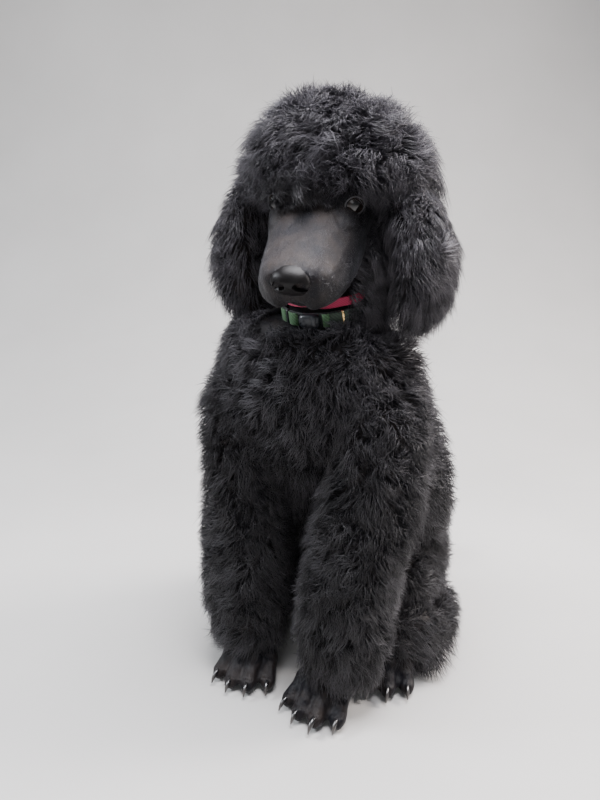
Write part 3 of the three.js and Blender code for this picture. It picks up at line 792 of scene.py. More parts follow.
# %% [markdown]
# The feet are shaved too, a mark of the poodle: the toes stand clear, arched, with strong claws.
# One function draws a paw that points along -Y. It is used four times, and each paw gets its own place
# and turn.

# %% Paws
toe_list = [(-18, 12, -14), (-6.5, 2, -4), (6.5, 2, 4), (18, 12, 14)]
paw_places = [
    (fore_paws[1], -8, 54, 0),
    (fore_paws[-1], 6, 54, 0),
    (hind_paws[1], 8, 34, 10),
    (hind_paws[-1], -10, 34, 10),
]
paw_stretch = 1.14
gaps_between_toes = (-12.4, 0, 12.4)
toe_joints = [(10, 35.5, 4.5, 1.2), (18, 28, 3, -1.3), (26, 22, 3.5, 0.9), (33, 17.5, 2.2, -0.8)]


def toe(x, start, turn):
    s, c = math.sin(math.radians(turn)), math.cos(math.radians(turn))

    def on(forward, z):
        return (x + s * forward, start - c * forward, z)

    rows = [
        (*on(38, 8.5), 5.6, 4.8, 7.9),
        (*on(33, 11.5), 8.0, 6.6, 10.9),
        (*on(26, 15), 8.2, 6.6, 13),
        (*on(19, 20), 7.8, 6.8, 14.5),
        (*on(11, 26.5), 9.2, 8.8, 16),
        (*on(3, 26), 8.4, 7.8, 15),
        (*on(-8, 24), 7, 7, 14),
    ]
    return loft(rows, (3.5, 3), across=(c, s, 0), around=24, steps=5)


def paw_forms(height, back):
    stem = [
        (0, 14, 12, 23, 20, 18),
        (0, 10 + back, 26, 20, 17, 15),
        (0, 12 + 2 * back, height, 15, 12, 12),
    ]
    return [toe(*t) for t in toe_list] + [loft(stem, (8, 0.01), around=32)]


def paw_place(place, turn):
    """Where a paw stands, how it is turned, and how much wider it is than drawn."""
    x, y = place
    widened = Matrix.Diagonal((paw_stretch, 1, 1, 1))
    return Matrix.Translation((x, y, 0)) @ Matrix.Rotation(math.radians(turn), 4, "Z") @ widened


paw_skins = []
for place, turn, height, back in paw_places:
    skin = fused(paw_forms(height, back), voxel=2.0, smoothing=1)
    gaps = [[(x, 4, 26), (x * 1.1, -14, 22), (x * 1.4, -30, 12)] for x in gaps_between_toes]
    creases = [(gap, 2.0, -1.4) for gap in gaps]
    joints = []
    for x, start, turn_out in toe_list:
        s, c = math.sin(math.radians(turn_out)), math.cos(math.radians(turn_out))
        for forward, top, width, height in toe_joints:
            middle = np.array((x + s * forward, start - c * forward, top))
            joints.append(([middle - (4, 0, 0), middle + (4, 0, 0)], width, height))
    corners, faces = worked(skin, creases + joints)
    corners[:, 2] = np.maximum(corners[:, 2], 0.0)
    paw_skins.append(moved((corners, faces), paw_place(place, turn)))
print("four paws of", len(paw_skins[0][1]), "faces each")

# %% [markdown]
# Skin finish. Shaved poodle skin is black with a soft grey bloom, because the stubble stands a
# millimetre proud and catches the light. A fine stretched noise stands in for the stubble, a coarser
# one for the folds, and a broad one lets the bloom come and go over the muzzle. On the face a painted
# shade darkens the cheeks, the lips and the underside, and leaves the bridge, which faces the light
# from above, at full tone.

# %% Skin material
def skin_material():
    material, shader = principled(
        "shaved_skin", Sheen_Weight=0.05, Sheen_Roughness=0.4, Specular_IOR_Level=0.13
    )
    shader.inputs["Sheen Tint"].default_value = (0.8, 0.82, 0.9, 1)
    broad = noise(material, object_place(material), 45, 5, 0.65)
    stubble = noise(material, object_place(material, (1, 0.45, 0.7)), 1300, 3, 0.7)
    folds = noise(material, object_place(material, (1, 0.45, 0.35)), 330, 6, 0.65)
    tone = blend_colours(material, broad, (0.0045, 0.0044, 0.0066), (0.03, 0.0225, 0.019), 0.4, 0.72)
    # Painted shade: an attribute on the corners takes the colour to near black where the face turns away from
    # the light.
    bloom = add_node(material, "ShaderNodeAttribute", attribute_name="bloom")
    colour = mixed(material, bloom.outputs["Fac"], (0.0022, 0.0021, 0.0027), tone)
    link(material, colour, shader.inputs["Base Color"])
    paw_height, leg_height = 0.03, 0.09
    rough = add_node(material, "ShaderNodeMath", operation="MULTIPLY")
    link(material, ranged(material, folds, 0.38, 0.6), rough.inputs[0])
    smoother_paws = ranged(material, height_above_floor(material), 0.66, 1.0, paw_height, leg_height)
    link(material, smoother_paws, rough.inputs[1])
    link(material, rough.outputs[0], shader.inputs["Roughness"])
    broad_bump = bump(material, shader, broad, 0.4, 0.003)
    coarse = bump(material, shader, folds, 0.7, 0.0014, broad_bump)
    bump(material, shader, stubble, 0.6, 0.0005, coarse)
    return material


def painted_light_of(points):
    """Painted light and shade on the face: full on the bridge, which faces the light, darker on the cheeks
    and lips.
    """
    x, y, z = points.T
    side_on = np.clip((np.abs(x) - 20) / 22, 0, 1)
    low = np.clip((-12 - z) / 24, 0, 1)
    back = np.clip((y + 45) / 35, 0, 1)
    return np.clip(1 - 0.55 * side_on - 0.75 * low - 0.35 * back * side_on, 0, 1)


all_skins = [body_skin, moved(face_skin, head_frame)] + paw_skins
skin = add_piece("skin", *joined(all_skins), skin_material())
# Painted light and shade: the face gets its own values, lighter on the bridge and darker on the cheeks, lips
# and underside; the body and paws get one even value.
even_painted_light = 0.7
bloom = np.full(len(skin.data.vertices), even_painted_light)
first = len(body_skin[0])
bloom[first:first + len(face_skin[0])] = painted_light_of(face_skin[0])
skin.data.attributes.new("bloom", "FLOAT", "POINT").data.foreach_set("value", bloom.astype(np.float32))
flesh = ["head", "neck", "torso", "tail", "topknot", "ear_left", "ear_right"]
limbs = ("foreleg", "hindleg", "forepaw", "hindpaw")
flesh += [f"{limb}_{side}" for limb in limbs for side in ("left", "right")]
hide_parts(*flesh)
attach(skin, body_name)
print("one skin of", len(skin.data.polygons), "faces replaces", len(flesh), "solids")

# %% [markdown]
# Eyes: a ball with a slightly fuller cornea in front. The colours are rings round the line of sight,
# so the mesh carries an attribute that says how far each point is from it: pupil, iris, white.

# %% Eyes
def eye_material():
    material, shader = principled(
        "wet_eye", Roughness=0.25, Specular_IOR_Level=0.15, Coat_Weight=0.8, Coat_Roughness=0.13
    )
    off_sight = add_node(material, "ShaderNodeAttribute", attribute_name="off_sight")
    ramp = add_node(material, "ShaderNodeValToRGB")
    stops = [
        (0.0, (0.002, 0.002, 0.002)),
        (0.115, (0.002, 0.002, 0.002)),
        (0.13, (0.006, 0.003, 0.002)),
        (0.2, (0.014, 0.007, 0.004)),
        (0.235, (0.003, 0.002, 0.002)),
        (0.26, (0.006, 0.005, 0.005)),
        (0.5, (0.02, 0.016, 0.014)),
    ]
    while len(ramp.color_ramp.elements) < len(stops):
        ramp.color_ramp.elements.new(1)
    for element, (place, colour) in zip(ramp.color_ramp.elements, stops):
        element.position = place
        element.color = (*colour, 1)
    link(material, off_sight.outputs["Fac"], ramp.inputs["Fac"])
    link(material, ramp.outputs["Color"], shader.inputs["Base Color"])
    return material


def add_eye(side, name, material, across=48, down=32):
    frame_rows = eye_frame(side)
    corners, shade = [], []
    for i in range(down + 1):
        theta = math.pi * i / down
        cornea = 0.55 * math.exp(-((theta / 0.5) ** 2))
        for k in range(across):
            turn = 2 * math.pi * k / across
            direction = (math.sin(theta) * math.cos(turn), math.sin(theta) * math.sin(turn), math.cos(theta))
            corners.append(eye_at(side) + np.array(direction) @ frame_rows * (eye_radius + cornea))
            shade.append(theta / math.pi)
    faces = band_faces(down + 1, across, closed=False, turned=True)
    made = add_piece(name, *moved((corners, faces), head_frame), material)
    made.data.attributes.new("off_sight", "FLOAT", "POINT").data.foreach_set("value", shade)
    close_doubles(made)
    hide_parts(name.replace("_ball", ""))
    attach(made, body_name)
    return made


def close_doubles(made, distance=1e-6):
    """Merges corners that share a place, and turns the faces outwards."""
    work = bmesh.new()
    work.from_mesh(made.data)
    bmesh.ops.remove_doubles(work, verts=work.verts, dist=distance)
    bmesh.ops.recalc_face_normals(work, faces=work.faces)
    work.to_mesh(made.data)
    work.free()


wet = eye_material()
for side, name in ((1, "eye_left_ball"), (-1, "eye_right_ball")):
    made = add_eye(side, name, wet)
    print(made.name, "has", len(made.data.polygons), "faces")

# %% [markdown]
# A real lid has a wet edge that shines as a thin pale ring round the ball. It is a fine tube that
# follows the edge of the opening, a hair's breadth in front of the lid.

# %% Wet edge of the lids
def lid_edge(side, around=64, sides=8, radius=0.7):
    frame_rows = eye_frame(side)
    path = []
    for k in range(around):
        turn = 2 * math.pi * k / around
        c, s = math.cos(turn), math.sin(turn)
        theta = lid_opening(c, s) + 0.03
        local = np.array((math.sin(theta) * c, math.sin(theta) * s, math.cos(theta))) * (eye_radius + 1.0)
        path.append(eye_at(side) + local @ frame_rows)
    path = np.array(path)
    run = unit(np.roll(path, -1, axis=0) - np.roll(path, 1, axis=0))
    out = unit(path - eye_at(side))
    across = np.cross(run, out)
    turns = 2 * np.pi * np.arange(sides) / sides
    wall = out[:, None] * np.cos(turns)[:, None] + across[:, None] * np.sin(turns)[:, None]
    rings = path[:, None] + radius * wall
    return rings.reshape(-1, 3), band_faces(around, sides)


edge, edge_shader = principled("wet_edge", Roughness=0.5, Coat_Weight=0.35, Coat_Roughness=0.3)
edge_shader.inputs["Base Color"].default_value = (0.028, 0.027, 0.031, 1)
for side, name in ((1, "lid_edge_left"), (-1, "lid_edge_right")):
    made = add_piece(name, *moved(lid_edge(side), head_frame), edge)
    close_doubles(made)
    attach(made, body_name)
print("each lid edge has", len(made.data.polygons), "faces")

# %% [markdown]
# The nose leather is a short loft. The nostrils are cut out of it with a boolean: a round hole in
# front, and a slit that curls out to the side. The grain is a fine cell pattern in the bump.

# %% Nose
nose_rows = [
    (0, -84, -8, 11, 10.5, 8),
    (0, -94, -9.5, 16.5, 12.6, 12),
    (0, -104, -10, 18.5, 13.2, 13),
    (0, -110.5, -12, 15, 11, 11),
]


def nostril_forms(side):
    hole = [
        (side * 8.2, -123, -9.5, 6.2, 5.4, 5.2),
        (side * 9.4, -110, -8.5, 5.6, 5.0, 4.8),
        (side * 10.4, -93, -7, 3.8, 3.4, 3.4),
    ]
    slit = [
        (side * 10, -118, -12, 3.8, 2.6, 2.6),
        (side * 16, -109, -12.5, 4.4, 2.4, 2.4),
        (side * 23, -98, -11, 3.2, 1.9, 1.9),
    ]
    return [loft(hole, (1, 1), around=28, steps=6), loft(slit, (1, 1), around=20, steps=6)]


def carved(piece, forms):
    """Cuts forms out of a piece, for good."""
    cutters = []
    for form in forms:
        cutter = add_piece("cutter", *form, None)
        cut = piece.modifiers.new("cut", "BOOLEAN")
        cut.operation = "DIFFERENCE"
        cut.object = cutter
        cut.solver = "EXACT"
        cutters.append(cutter)
    bpy.context.view_layer.update()
    mesh = bpy.data.meshes.new_from_object(piece.evaluated_get(bpy.context.evaluated_depsgraph_get()))
    piece.modifiers.clear()
    piece.data = mesh
    mesh.name = piece.name
    mesh.polygons.foreach_set("use_smooth", [True] * len(mesh.polygons))
    for cutter in cutters:
        bpy.data.objects.remove(cutter)


def nose_material():
    material, shader = principled("nose_leather", Specular_IOR_Level=0.13)
    place = object_place(material)
    cells = add_node(material, "ShaderNodeTexVoronoi", feature="DISTANCE_TO_EDGE", Scale=1150)
    link(material, place, cells.inputs["Vector"])
    broad = noise(material, place, 120)
    colour = blend_colours(material, broad, (0.003, 0.0027, 0.003), (0.008, 0.007, 0.007))
    link(material, colour, shader.inputs["Base Color"])
    link(material, ranged(material, broad, 0.26, 0.42), shader.inputs["Roughness"])
    bump(material, shader, cells.outputs["Distance"], 0.45, 0.0003)
    return material


nose_skin = fused([loft(nose_rows, (2, 3), square=2.3, around=48, steps=12)], voxel=0.6, smoothing=4)
nose_moves = [([(0, -117, -10), (0, -115, -26)], 1.1, -1.0)]
for side in (1, -1):
    wing = [(side * 16.5, -109, -8), (side * 10, -116, -7), (side * 3, -117, -9)]
    lower_rim = [(side * 4, -118, -19.5), (side * 11, -115, -20.5), (side * 16, -108, -19.5)]
    nose_moves += [(wing, 2.4, 0.8), (lower_rim, 1.8, 0.7)]
nose_piece = add_piece("nose_leather", *moved(worked(nose_skin, nose_moves), head_frame), nose_material())
carved(nose_piece, [moved(form, head_frame) for side in (1, -1) for form in nostril_forms(side)])
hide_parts("nose")
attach(nose_piece, body_name)
print("nose has", len(nose_piece.data.polygons), "faces")

# %% [markdown]
# Claws and stitches repeat, so Geometry Nodes sets them out. The tree takes bare points, each with a
# turn and a size. It puts a copy of one piece on every point, varies the sizes a little from a fixed
# seed, and makes the copies real. The result is kept as a plain mesh, so no modifier stays live.

# %% A tree that sets out copies
def set_out_tree():
    tree = bpy.data.node_groups.new("set_out", "GeometryNodeTree")
    inputs = {
        "Points": "NodeSocketGeometry",
        "Piece": "NodeSocketObject",
        "Material": "NodeSocketMaterial",
        "Variation": "NodeSocketFloat",
        "Seed": "NodeSocketInt",
    }
    for name, kind in inputs.items():
        tree.interface.new_socket(name, in_out="INPUT", socket_type=kind)
    tree.interface.new_socket("Copies", in_out="OUTPUT", socket_type="NodeSocketGeometry")

    def node(kind, **settings):
        made = tree.nodes.new(kind)
        for setting, value in settings.items():
            setattr(made, setting, value)
        return made

    def attribute(name, kind):
        made = node("GeometryNodeInputNamedAttribute", data_type=kind)
        made.inputs["Name"].default_value = name
        return made.outputs["Attribute"]

    def join(output, socket):
        tree.links.new(output, socket)

    start, end = node("NodeGroupInput"), node("NodeGroupOutput")
    piece = node("GeometryNodeObjectInfo")
    turned = node("FunctionNodeEulerToRotation")
    chance = node("FunctionNodeRandomValue", data_type="FLOAT")
    least = node("ShaderNodeMath", operation="SUBTRACT")
    least.inputs[0].default_value = 1
    scaled = node("ShaderNodeMath", operation="MULTIPLY")
    copies = node("GeometryNodeInstanceOnPoints")
    real = node("GeometryNodeRealizeInstances")
    finish = node("GeometryNodeSetMaterial")
    join(start.outputs["Piece"], piece.inputs["Object"])
    join(start.outputs["Variation"], least.inputs[1])
    join(least.outputs[0], chance.inputs[2])
    chance.inputs[3].default_value = 1
    join(start.outputs["Seed"], chance.inputs["Seed"])
    join(attribute("size", "FLOAT"), scaled.inputs[0])
    join(chance.outputs[1], scaled.inputs[1])
    join(attribute("turn", "FLOAT_VECTOR"), turned.inputs[0])
    join(start.outputs["Points"], copies.inputs["Points"])
    join(piece.outputs["Geometry"], copies.inputs["Instance"])
    join(turned.outputs[0], copies.inputs["Rotation"])
    join(scaled.outputs[0], copies.inputs["Scale"])
    join(copies.outputs[0], real.inputs[0])
    join(real.outputs[0], finish.inputs["Geometry"])
    join(start.outputs["Material"], finish.inputs["Material"])
    join(finish.outputs[0], end.inputs["Copies"])
    return tree


def set_out(name, places, piece, attributes, variation=0.1, seed=1):
    """Copies of a form, with its own values for the corners, at places that are 4 x 4 matrices."""
    corners, faces = piece[0]
    shape = add_piece(name + "_one", np.asarray(corners) - np.array(shift), faces, None)
    for key, values in attributes.items():
        shape.data.attributes.new(key, "FLOAT", "POINT").data.foreach_set("value", values)
    points = add_piece(name, [m.translation for m in places], [], None)
    turns = np.array([m.to_euler() for m in places])
    points.data.attributes.new("turn", "FLOAT_VECTOR", "POINT").data.foreach_set("vector", turns.ravel())
    sizes = [m.to_scale()[0] for m in places]
    points.data.attributes.new("size", "FLOAT", "POINT").data.foreach_set("value", sizes)
    modifier = points.modifiers.new("set_out", "NODES")
    modifier.node_group = copier
    values = {"Piece": shape, "Material": piece[1], "Variation": variation, "Seed": seed}
    for socket in copier.interface.items_tree:
        if socket.in_out == "INPUT" and socket.name in values:
            modifier[socket.identifier] = values[socket.name]
    bpy.context.view_layer.update()
    mesh = bpy.data.meshes.new_from_object(points.evaluated_get(bpy.context.evaluated_depsgraph_get()))
    bare = points.data
    points.modifiers.clear()
    points.data = mesh
    bpy.data.meshes.remove(bare)
    bpy.data.objects.remove(shape)
    mesh.name = name
    return points


copier = set_out_tree()
print("the tree has", len(copier.nodes), "nodes")

# %% [markdown]
# A claw is a small loft that bends down from the toe. One claw, sixteen places: each toe end gives a
# place and a turn. A value along the claw lets the material go from black horn to a paler tip.

# %% Claws
claw_rows = [
    (0, 5, 0.6, 3.4, 3.6, 3.8),
    (0, -2, 0.8, 3.2, 3.5, 3.6),
    (0, -7.5, -0.8, 2.7, 3.0, 3.0),
    (0, -12, -4.4, 1.9, 2.2, 2.1),
    (0, -14.6, -8.4, 0.8, 1.0, 0.9),
]
claw_form = loft(claw_rows, (1, 0.4), around=20, steps=6)
claw_forward, claw_height, claw_length, claw_scale = 35.5, 12.6, 14, 0.82


def horn_material():
    material, shader = principled("claw_horn", Specular_IOR_Level=0.6, Coat_Weight=0.5, Coat_Roughness=0.15)
    worn = add_node(material, "ShaderNodeAttribute", attribute_name="worn")
    streaks = noise(material, object_place(material, (1, 0.3, 0.3)), 900, 2)
    black, pale = (0.006, 0.0055, 0.006), (0.05, 0.044, 0.04)
    colour = blend_colours(material, worn.outputs["Fac"], black, pale, 0.55, 1.0)
    link(material, colour, shader.inputs["Base Color"])
    link(material, ranged(material, streaks, 0.18, 0.4), shader.inputs["Roughness"])
    return material


claw_places = []
for place, turn, height, back in paw_places:
    for x, start, turn_out in toe_list:
        s, c = math.sin(math.radians(turn_out)), math.cos(math.radians(turn_out))
        at = Matrix.Translation((x + s * claw_forward, start - c * claw_forward, claw_height))
        spin = Matrix.Rotation(math.radians(turn_out), 4, "Z") @ Matrix.Scale(claw_scale, 4)
        claw_places.append(paw_place(place, turn) @ at @ spin)
worn = np.clip(-claw_form[0][:, 1] / claw_length, 0, 1)
claws = set_out("claws", claw_places, (claw_form, horn_material()), {"worn": worn}, 0.12, 4)
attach(claws, body_name)
print(len(claw_places), "claws of", len(claw_form[1]), "faces")

# %% [markdown]
# The collar is webbing: a rounded ribbon bent round the neck. Each corner of a ribbon remembers how
# far along and how high up it lies, and the weave is drawn from those two numbers, so that the ribs
# follow the bend. The narrow red loop above it is the same ribbon, rolled over as it nears the chin.

# %% Webbing
strap_half_width, strap_half_depth = 50, 53


def frame_at(place, roll=0):
    return (
        Matrix.Translation(place)
        @ Matrix.Rotation(math.radians(collar_pitch), 4, "X")
        @ Matrix.Rotation(math.radians(roll), 4, "Y")
    )


collar_frame = frame_at(collar_at)
loop_frame = frame_at((13, 36, 448.5), -2.5)


def ribbon(start, end, inset, thick, tall, puff=0, roll=lambda angle: 0, wave=0.0, around=20):
    """A ribbon bent round the collar's ellipse from one angle to another, with its cloth values."""
    whole = abs(end - start) == 360
    count = max(int(abs(end - start) / 2), 8)
    angles = np.linspace(start, end, count + 1)[: count if whole else None]
    rings, cloth = [], []
    for i, angle in enumerate(angles):
        a, t = math.radians(angle), i / count
        out = inset + thick / 2 + puff * math.sin(math.pi * t)
        centre = np.array([(strap_half_width + out) * math.cos(a), (strap_half_depth + out) * math.sin(a),
                           wave * math.sin(5 * a + 1) + wave * 0.6 * math.sin(11 * a)])
        normal = np.array([math.cos(a) / strap_half_width, math.sin(a) / strap_half_depth, 0])
        normal /= np.linalg.norm(normal)
        tilt = math.radians(roll(angle))
        across = normal * math.cos(tilt) - np.array((0, 0, 1)) * math.sin(tilt)
        upwards = normal * math.sin(tilt) + np.array((0, 0, 1)) * math.cos(tilt)
        near_end = 1 if whole else min(1, 0.35 + 5 * min(t, 1 - t))
        for k in range(around):
            turn = 2 * math.pi * (k + 0.5) / around
            c, s = math.cos(turn), math.sin(turn)
            x = math.copysign(abs(c) ** 0.4, c) * thick / 2 * near_end
            y = math.copysign(abs(s) ** 0.4, s) * tall / 2
            rings.append(centre + across * x + upwards * y)
            cloth.append((a * strap_half_width * MM, y * MM, 0))
    total = len(angles)
    faces = band_faces(total, around, closed=whole)
    if not whole:
        faces += [tuple(range(around))[::-1], tuple((total - 1) * around + k for k in range(around))]
    return (np.array(rings), faces), cloth


def webbing_material(name, dark, light, rib, bold=0.5):
    """Woven cloth: ribs across the ribbon, crossed by fine threads along it."""
    material, shader = principled(name, Roughness=0.72, Sheen_Weight=0.2, Sheen_Roughness=0.4)
    cloth = add_node(material, "ShaderNodeAttribute", attribute_name="cloth")
    ribs = add_node(material, "ShaderNodeTexWave", wave_type="BANDS", bands_direction="X", Scale=0.314 / rib)
    threads = add_node(material, "ShaderNodeTexWave", wave_type="BANDS", bands_direction="DIAGONAL",
                       Scale=0.2 / rib, Distortion=0.6)
    both = add_node(material, "ShaderNodeMath", operation="MULTIPLY")
    for wave, socket in ((ribs, 0), (threads, 1)):
        link(material, cloth.outputs["Vector"], wave.inputs["Vector"])
        link(material, wave.outputs["Fac"], both.inputs[socket])
    colour = blend_colours(material, both.outputs[0], dark, light, 0.0, 0.7)
    link(material, colour, shader.inputs["Base Color"])
    bump(material, shader, both.outputs[0], bold, 0.0004)
    return material


def collar_piece(name, form, frame, material, replaced, cloth=None):
    made = add_piece(name, *moved(form, frame), material)
    if cloth:
        made.data.attributes.new("cloth", "FLOAT_VECTOR", "POINT").data.foreach_set("vector", np.ravel(cloth))
    close_doubles(made)
    if replaced:
        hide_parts(replaced)
    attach(made, body_name)
    return made


dark_web = webbing_material("strap_webbing", (0.006, 0.009, 0.008), (0.018, 0.026, 0.022), 0.0011)
green_web = webbing_material("fold_webbing", (0.028, 0.075, 0.03), (0.085, 0.2, 0.08), 0.0011)
# Painted shade: the tail of the left fold is the same green webbing, painted darker where it turns back round
# the neck.
shaded_fold_web = webbing_material("tail_webbing", (0.012, 0.022, 0.014), (0.04, 0.07, 0.042), 0.0011)
red_web = webbing_material("loop_webbing", (0.2, 0.004, 0.03), (0.5, 0.014, 0.09), 0.0008)


def loop_roll(angle):
    """Flat under the chin and upright at the sides."""
    return 68 * math.exp(-(((angle + 112) / 34) ** 4))


cloth_pieces = [
    ("strap", ribbon(-270, 90, 0, 2, 14, wave=0.35), dark_web, "collar_strap"),
    ("fold_right", ribbon(-124, -137, 2.2, 2.0, 13.2, puff=0.7), green_web, "collar_fold_right"),
    ("fold_right_inner", ribbon(-105, -119, 2.2, 2.2, 13.4, puff=1.3), green_web, None),
    ("fold_left", ribbon(-76, -68, 2.2, 2.2, 13.4, puff=1.1), green_web, None),
    ("fold_left_tail", ribbon(-68.5, -48, 2.0, 1.8, 13, puff=0.3), shaded_fold_web, "collar_fold_left"),
]
for name, (form, cloth), material, replaced in cloth_pieces:
    made = collar_piece(name, form, collar_frame, material, replaced, cloth)
    print(made.name, "has", len(made.data.polygons), "faces")
form, cloth = ribbon(-270, 90, 0, 1.8, 9, roll=loop_roll, wave=0.3)
collar_piece("red_loop", form, loop_frame, red_web, "neck_loop", cloth)

# %% [markdown]
# The hard parts of the collar: a side release buckle with a domed body and a seam, a plastic slide,
# and a brass keeper. The slide and keeper are bars bent into a flat ring that the webbing runs through.

# %% Buckle, slide and keeper
def plastic_material():
    material, shader = principled("buckle_plastic", Specular_IOR_Level=0.5)
    grain = noise(material, object_place(material), 1600, 2)
    shader.inputs["Base Color"].default_value = (0.012, 0.014, 0.018, 1)
    link(material, ranged(material, grain, 0.34, 0.5), shader.inputs["Roughness"])
    bump(material, shader, grain, 0.25, 0.0002)
    return material


def brass_material():
    material, shader = principled("brass", Metallic=1.0)
    tarnish = noise(material, object_place(material), 320, 3)
    colour = blend_colours(material, tarnish, (0.55, 0.36, 0.14), (0.83, 0.62, 0.33))
    link(material, colour, shader.inputs["Base Color"])
    link(material, ranged(material, tarnish, 0.16, 0.36), shader.inputs["Roughness"])
    return material


ring_corner, bar_corner = 0.45, 0.6


def ring_frame(angle, wide, tall, thick, inner=-1.4, outer=5.0, stations=64, around=14):
    """A flat rounded ring round the webbing at an angle of the collar."""
    a = math.radians(angle)
    spot = np.array([strap_half_width * math.cos(a), strap_half_depth * math.sin(a), 0])
    normal = np.array([math.cos(a) / strap_half_width, math.sin(a) / strap_half_depth, 0])
    normal /= np.linalg.norm(normal)
    along = np.cross(normal, (0, 0, 1))
    turn = 2 * np.pi * np.arange(stations) / stations
    c, s = np.cos(turn), np.sin(turn)
    reach = (outer - inner - thick) / 2
    n = (inner + outer) / 2 + squared_off(c, ring_corner) * reach
    z = squared_off(s, ring_corner) * (tall - thick) / 2
    path = spot + normal * n[:, None] + np.array((0, 0, 1)) * z[:, None]
    run = unit(np.roll(path, -1, axis=0) - np.roll(path, 1, axis=0))
    side = np.cross(run, along)
    phi = 2 * np.pi * (np.arange(around) + 0.5) / around
    width = squared_off(np.cos(phi), bar_corner) * wide / 2
    height = squared_off(np.sin(phi), bar_corner) * thick / 2
    rings = path[:, None] + along * width[None, :, None]
    rings = rings + side[:, None] * height[None, :, None]
    return rings.reshape(-1, 3), band_faces(stations, around)


facing_out = (0, 1, 0)
buckle_back = -55.3
plate_rows = [
    (0, buckle_back - 6.9, 0, 7.4, 4.4, 4.2),
    (0, buckle_back - 6.2, 0, 9.0, 6.2, 6.0),
    (0, buckle_back - 4.4, 0, 10.6, 7.4, 7.2),
    (0, buckle_back - 2.4, 0, 11.2, 7.7, 7.7),
    (0, buckle_back, 0, 11.5, 7.7, 7.7),
]
plate = fused([loft(plate_rows, (0.4, 0.01), square=3.2, facing=facing_out, around=64, steps=6)], 0.5, 3)
front_y = buckle_back - 6.8
buckle_moves = [
    ([(4.6, front_y, 9), (3.4, front_y, 3), (3.4, front_y, -3), (4.6, front_y, -9)], 0.7, -0.9),
    ([(-9.2, front_y + 2, 4), (-8.6, front_y, 0), (-9.2, front_y + 2, -4)], 1.0, -1.1),
    ([(9.4, front_y + 2, 3.5), (8.8, front_y, 0), (9.4, front_y + 2, -3.5)], 1.0, -1.1),
    ([(-4.5, front_y, 2.6), (-1.5, front_y, 0), (-4.5, front_y, -2.6)], 0.6, 0.5),
]
plastic = plastic_material()
hard_pieces = [
    ("buckle_body", worked(plate, buckle_moves), plastic, "collar_buckle", "buckle"),
    ("plastic_slide", ring_frame(-121.4, 2.6, 15.6, 1.7), plastic, "collar_slide", "buckle"),
    ("brass_keeper", ring_frame(-54, 2.2, 15, 1.5), brass_material(), "collar_keeper", "brass"),
]
for name, form, material, replaced, slot in hard_pieces:
    collar_piece(name, form, collar_frame, material, replaced)
print("buckle has", len(plate[1]), "faces")

# %% [markdown]
# Stitches hold the folded ends. Each is a tiny rounded bar, set out in two rows across the webbing.

# %% Stitches
stitch_rows = [
    (-0.9, 0, 0, 0.28, 0.28, 0.28),
    (0, 0, 0.12, 0.3, 0.3, 0.3),
    (0.9, 0, 0, 0.28, 0.28, 0.28),
]
stitch = loft(stitch_rows, (0.2, 0.2), across=(0, 1, 0), around=8, steps=2)
thread, thread_shader = principled("thread", Roughness=0.6)
thread_shader.inputs["Base Color"].default_value = (0.05, 0.1, 0.055, 1)
stitch_places = []
stitch_angles = (-107, -109.4, -73.5, -71.2)
stitch_steps = np.arange(-5.2, 5.3, 2.6)
fold_inset, fold_thick, fold_swell = 2.2, 2.2, 0.75
out = fold_inset + fold_thick + fold_swell
for angle in stitch_angles:
    a = math.radians(angle)
    spot = Vector(((strap_half_width + out) * math.cos(a), (strap_half_depth + out) * math.sin(a), 0))
    turn = math.atan2(math.sin(a) / strap_half_depth, math.cos(a) / strap_half_width)
    for z in stitch_steps:
        place = Matrix.Translation(spot + Vector((0, 0, z))) @ Matrix.Rotation(turn, 4, "Z")
        stitch_places.append(collar_frame @ place @ Matrix.Rotation(math.radians(90), 4, "Y"))
stitches = set_out("stitches", stitch_places, (stitch, thread), {}, 0.15, 7)
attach(stitches, body_name)
print(len(stitch_places), "stitches")

# %% [markdown]
# Now the coat. Hair grows from roots on the body skin. Each root needs a place, the direction that
# the skin faces there, and a spot on a flat unwrap of the skin, so that later every tuft can find
# its colour. Blender's Smart UV Project cuts the skin into flat islands and lays them out.

# %% Flat map of the skin
def flat_map(form):
    """The place of each face's corners on an unwrap of a form, as one row of four pairs for a face."""
    pattern = add_piece("pattern", form[0], form[1].tolist(), None)
    bpy.context.view_layer.objects.active = pattern
    pattern.select_set(True)
    bpy.ops.object.mode_set(mode="EDIT")
    bpy.ops.mesh.select_all(action="SELECT")
    bpy.ops.uv.smart_project(angle_limit=math.radians(66), island_margin=0.002)
    bpy.ops.object.mode_set(mode="OBJECT")
    places = np.empty(len(pattern.data.loops) * 2)
    pattern.data.uv_layers.active.data.foreach_get("uv", places)
    bpy.data.objects.remove(pattern)
    return places.reshape(-1, 4, 2)


def ground_of(form):
    """All that hair needs to know of the skin it grows on."""
    corners, faces = form
    normals = normals_of(corners, faces)
    across = [corners[faces[:, b]] - corners[faces[:, a]] for a, b in ((0, 2), (1, 3))]
    return {
        "corners": corners,
        "faces": faces,
        "normals": normals,
        "flat": flat_map(form),
        "middles": corners[faces].mean(axis=1),
        "facing": normals[faces].mean(axis=1),
        "areas": np.linalg.norm(np.cross(*across), axis=1) / 2,
    }


body_ground = ground_of(body_skin)
face_ground = ground_of(moved(face_skin, head_frame))
print("skin to grow hair on:", round(body_ground["areas"].sum() / 1e6, 2), "square metres")

# %% [markdown]
# The coat is trimmed in regions, and each behaves in its own way: the topknot stands, the ears hang,
# the body is fluffed out. The same planes that part the solids part the hair.

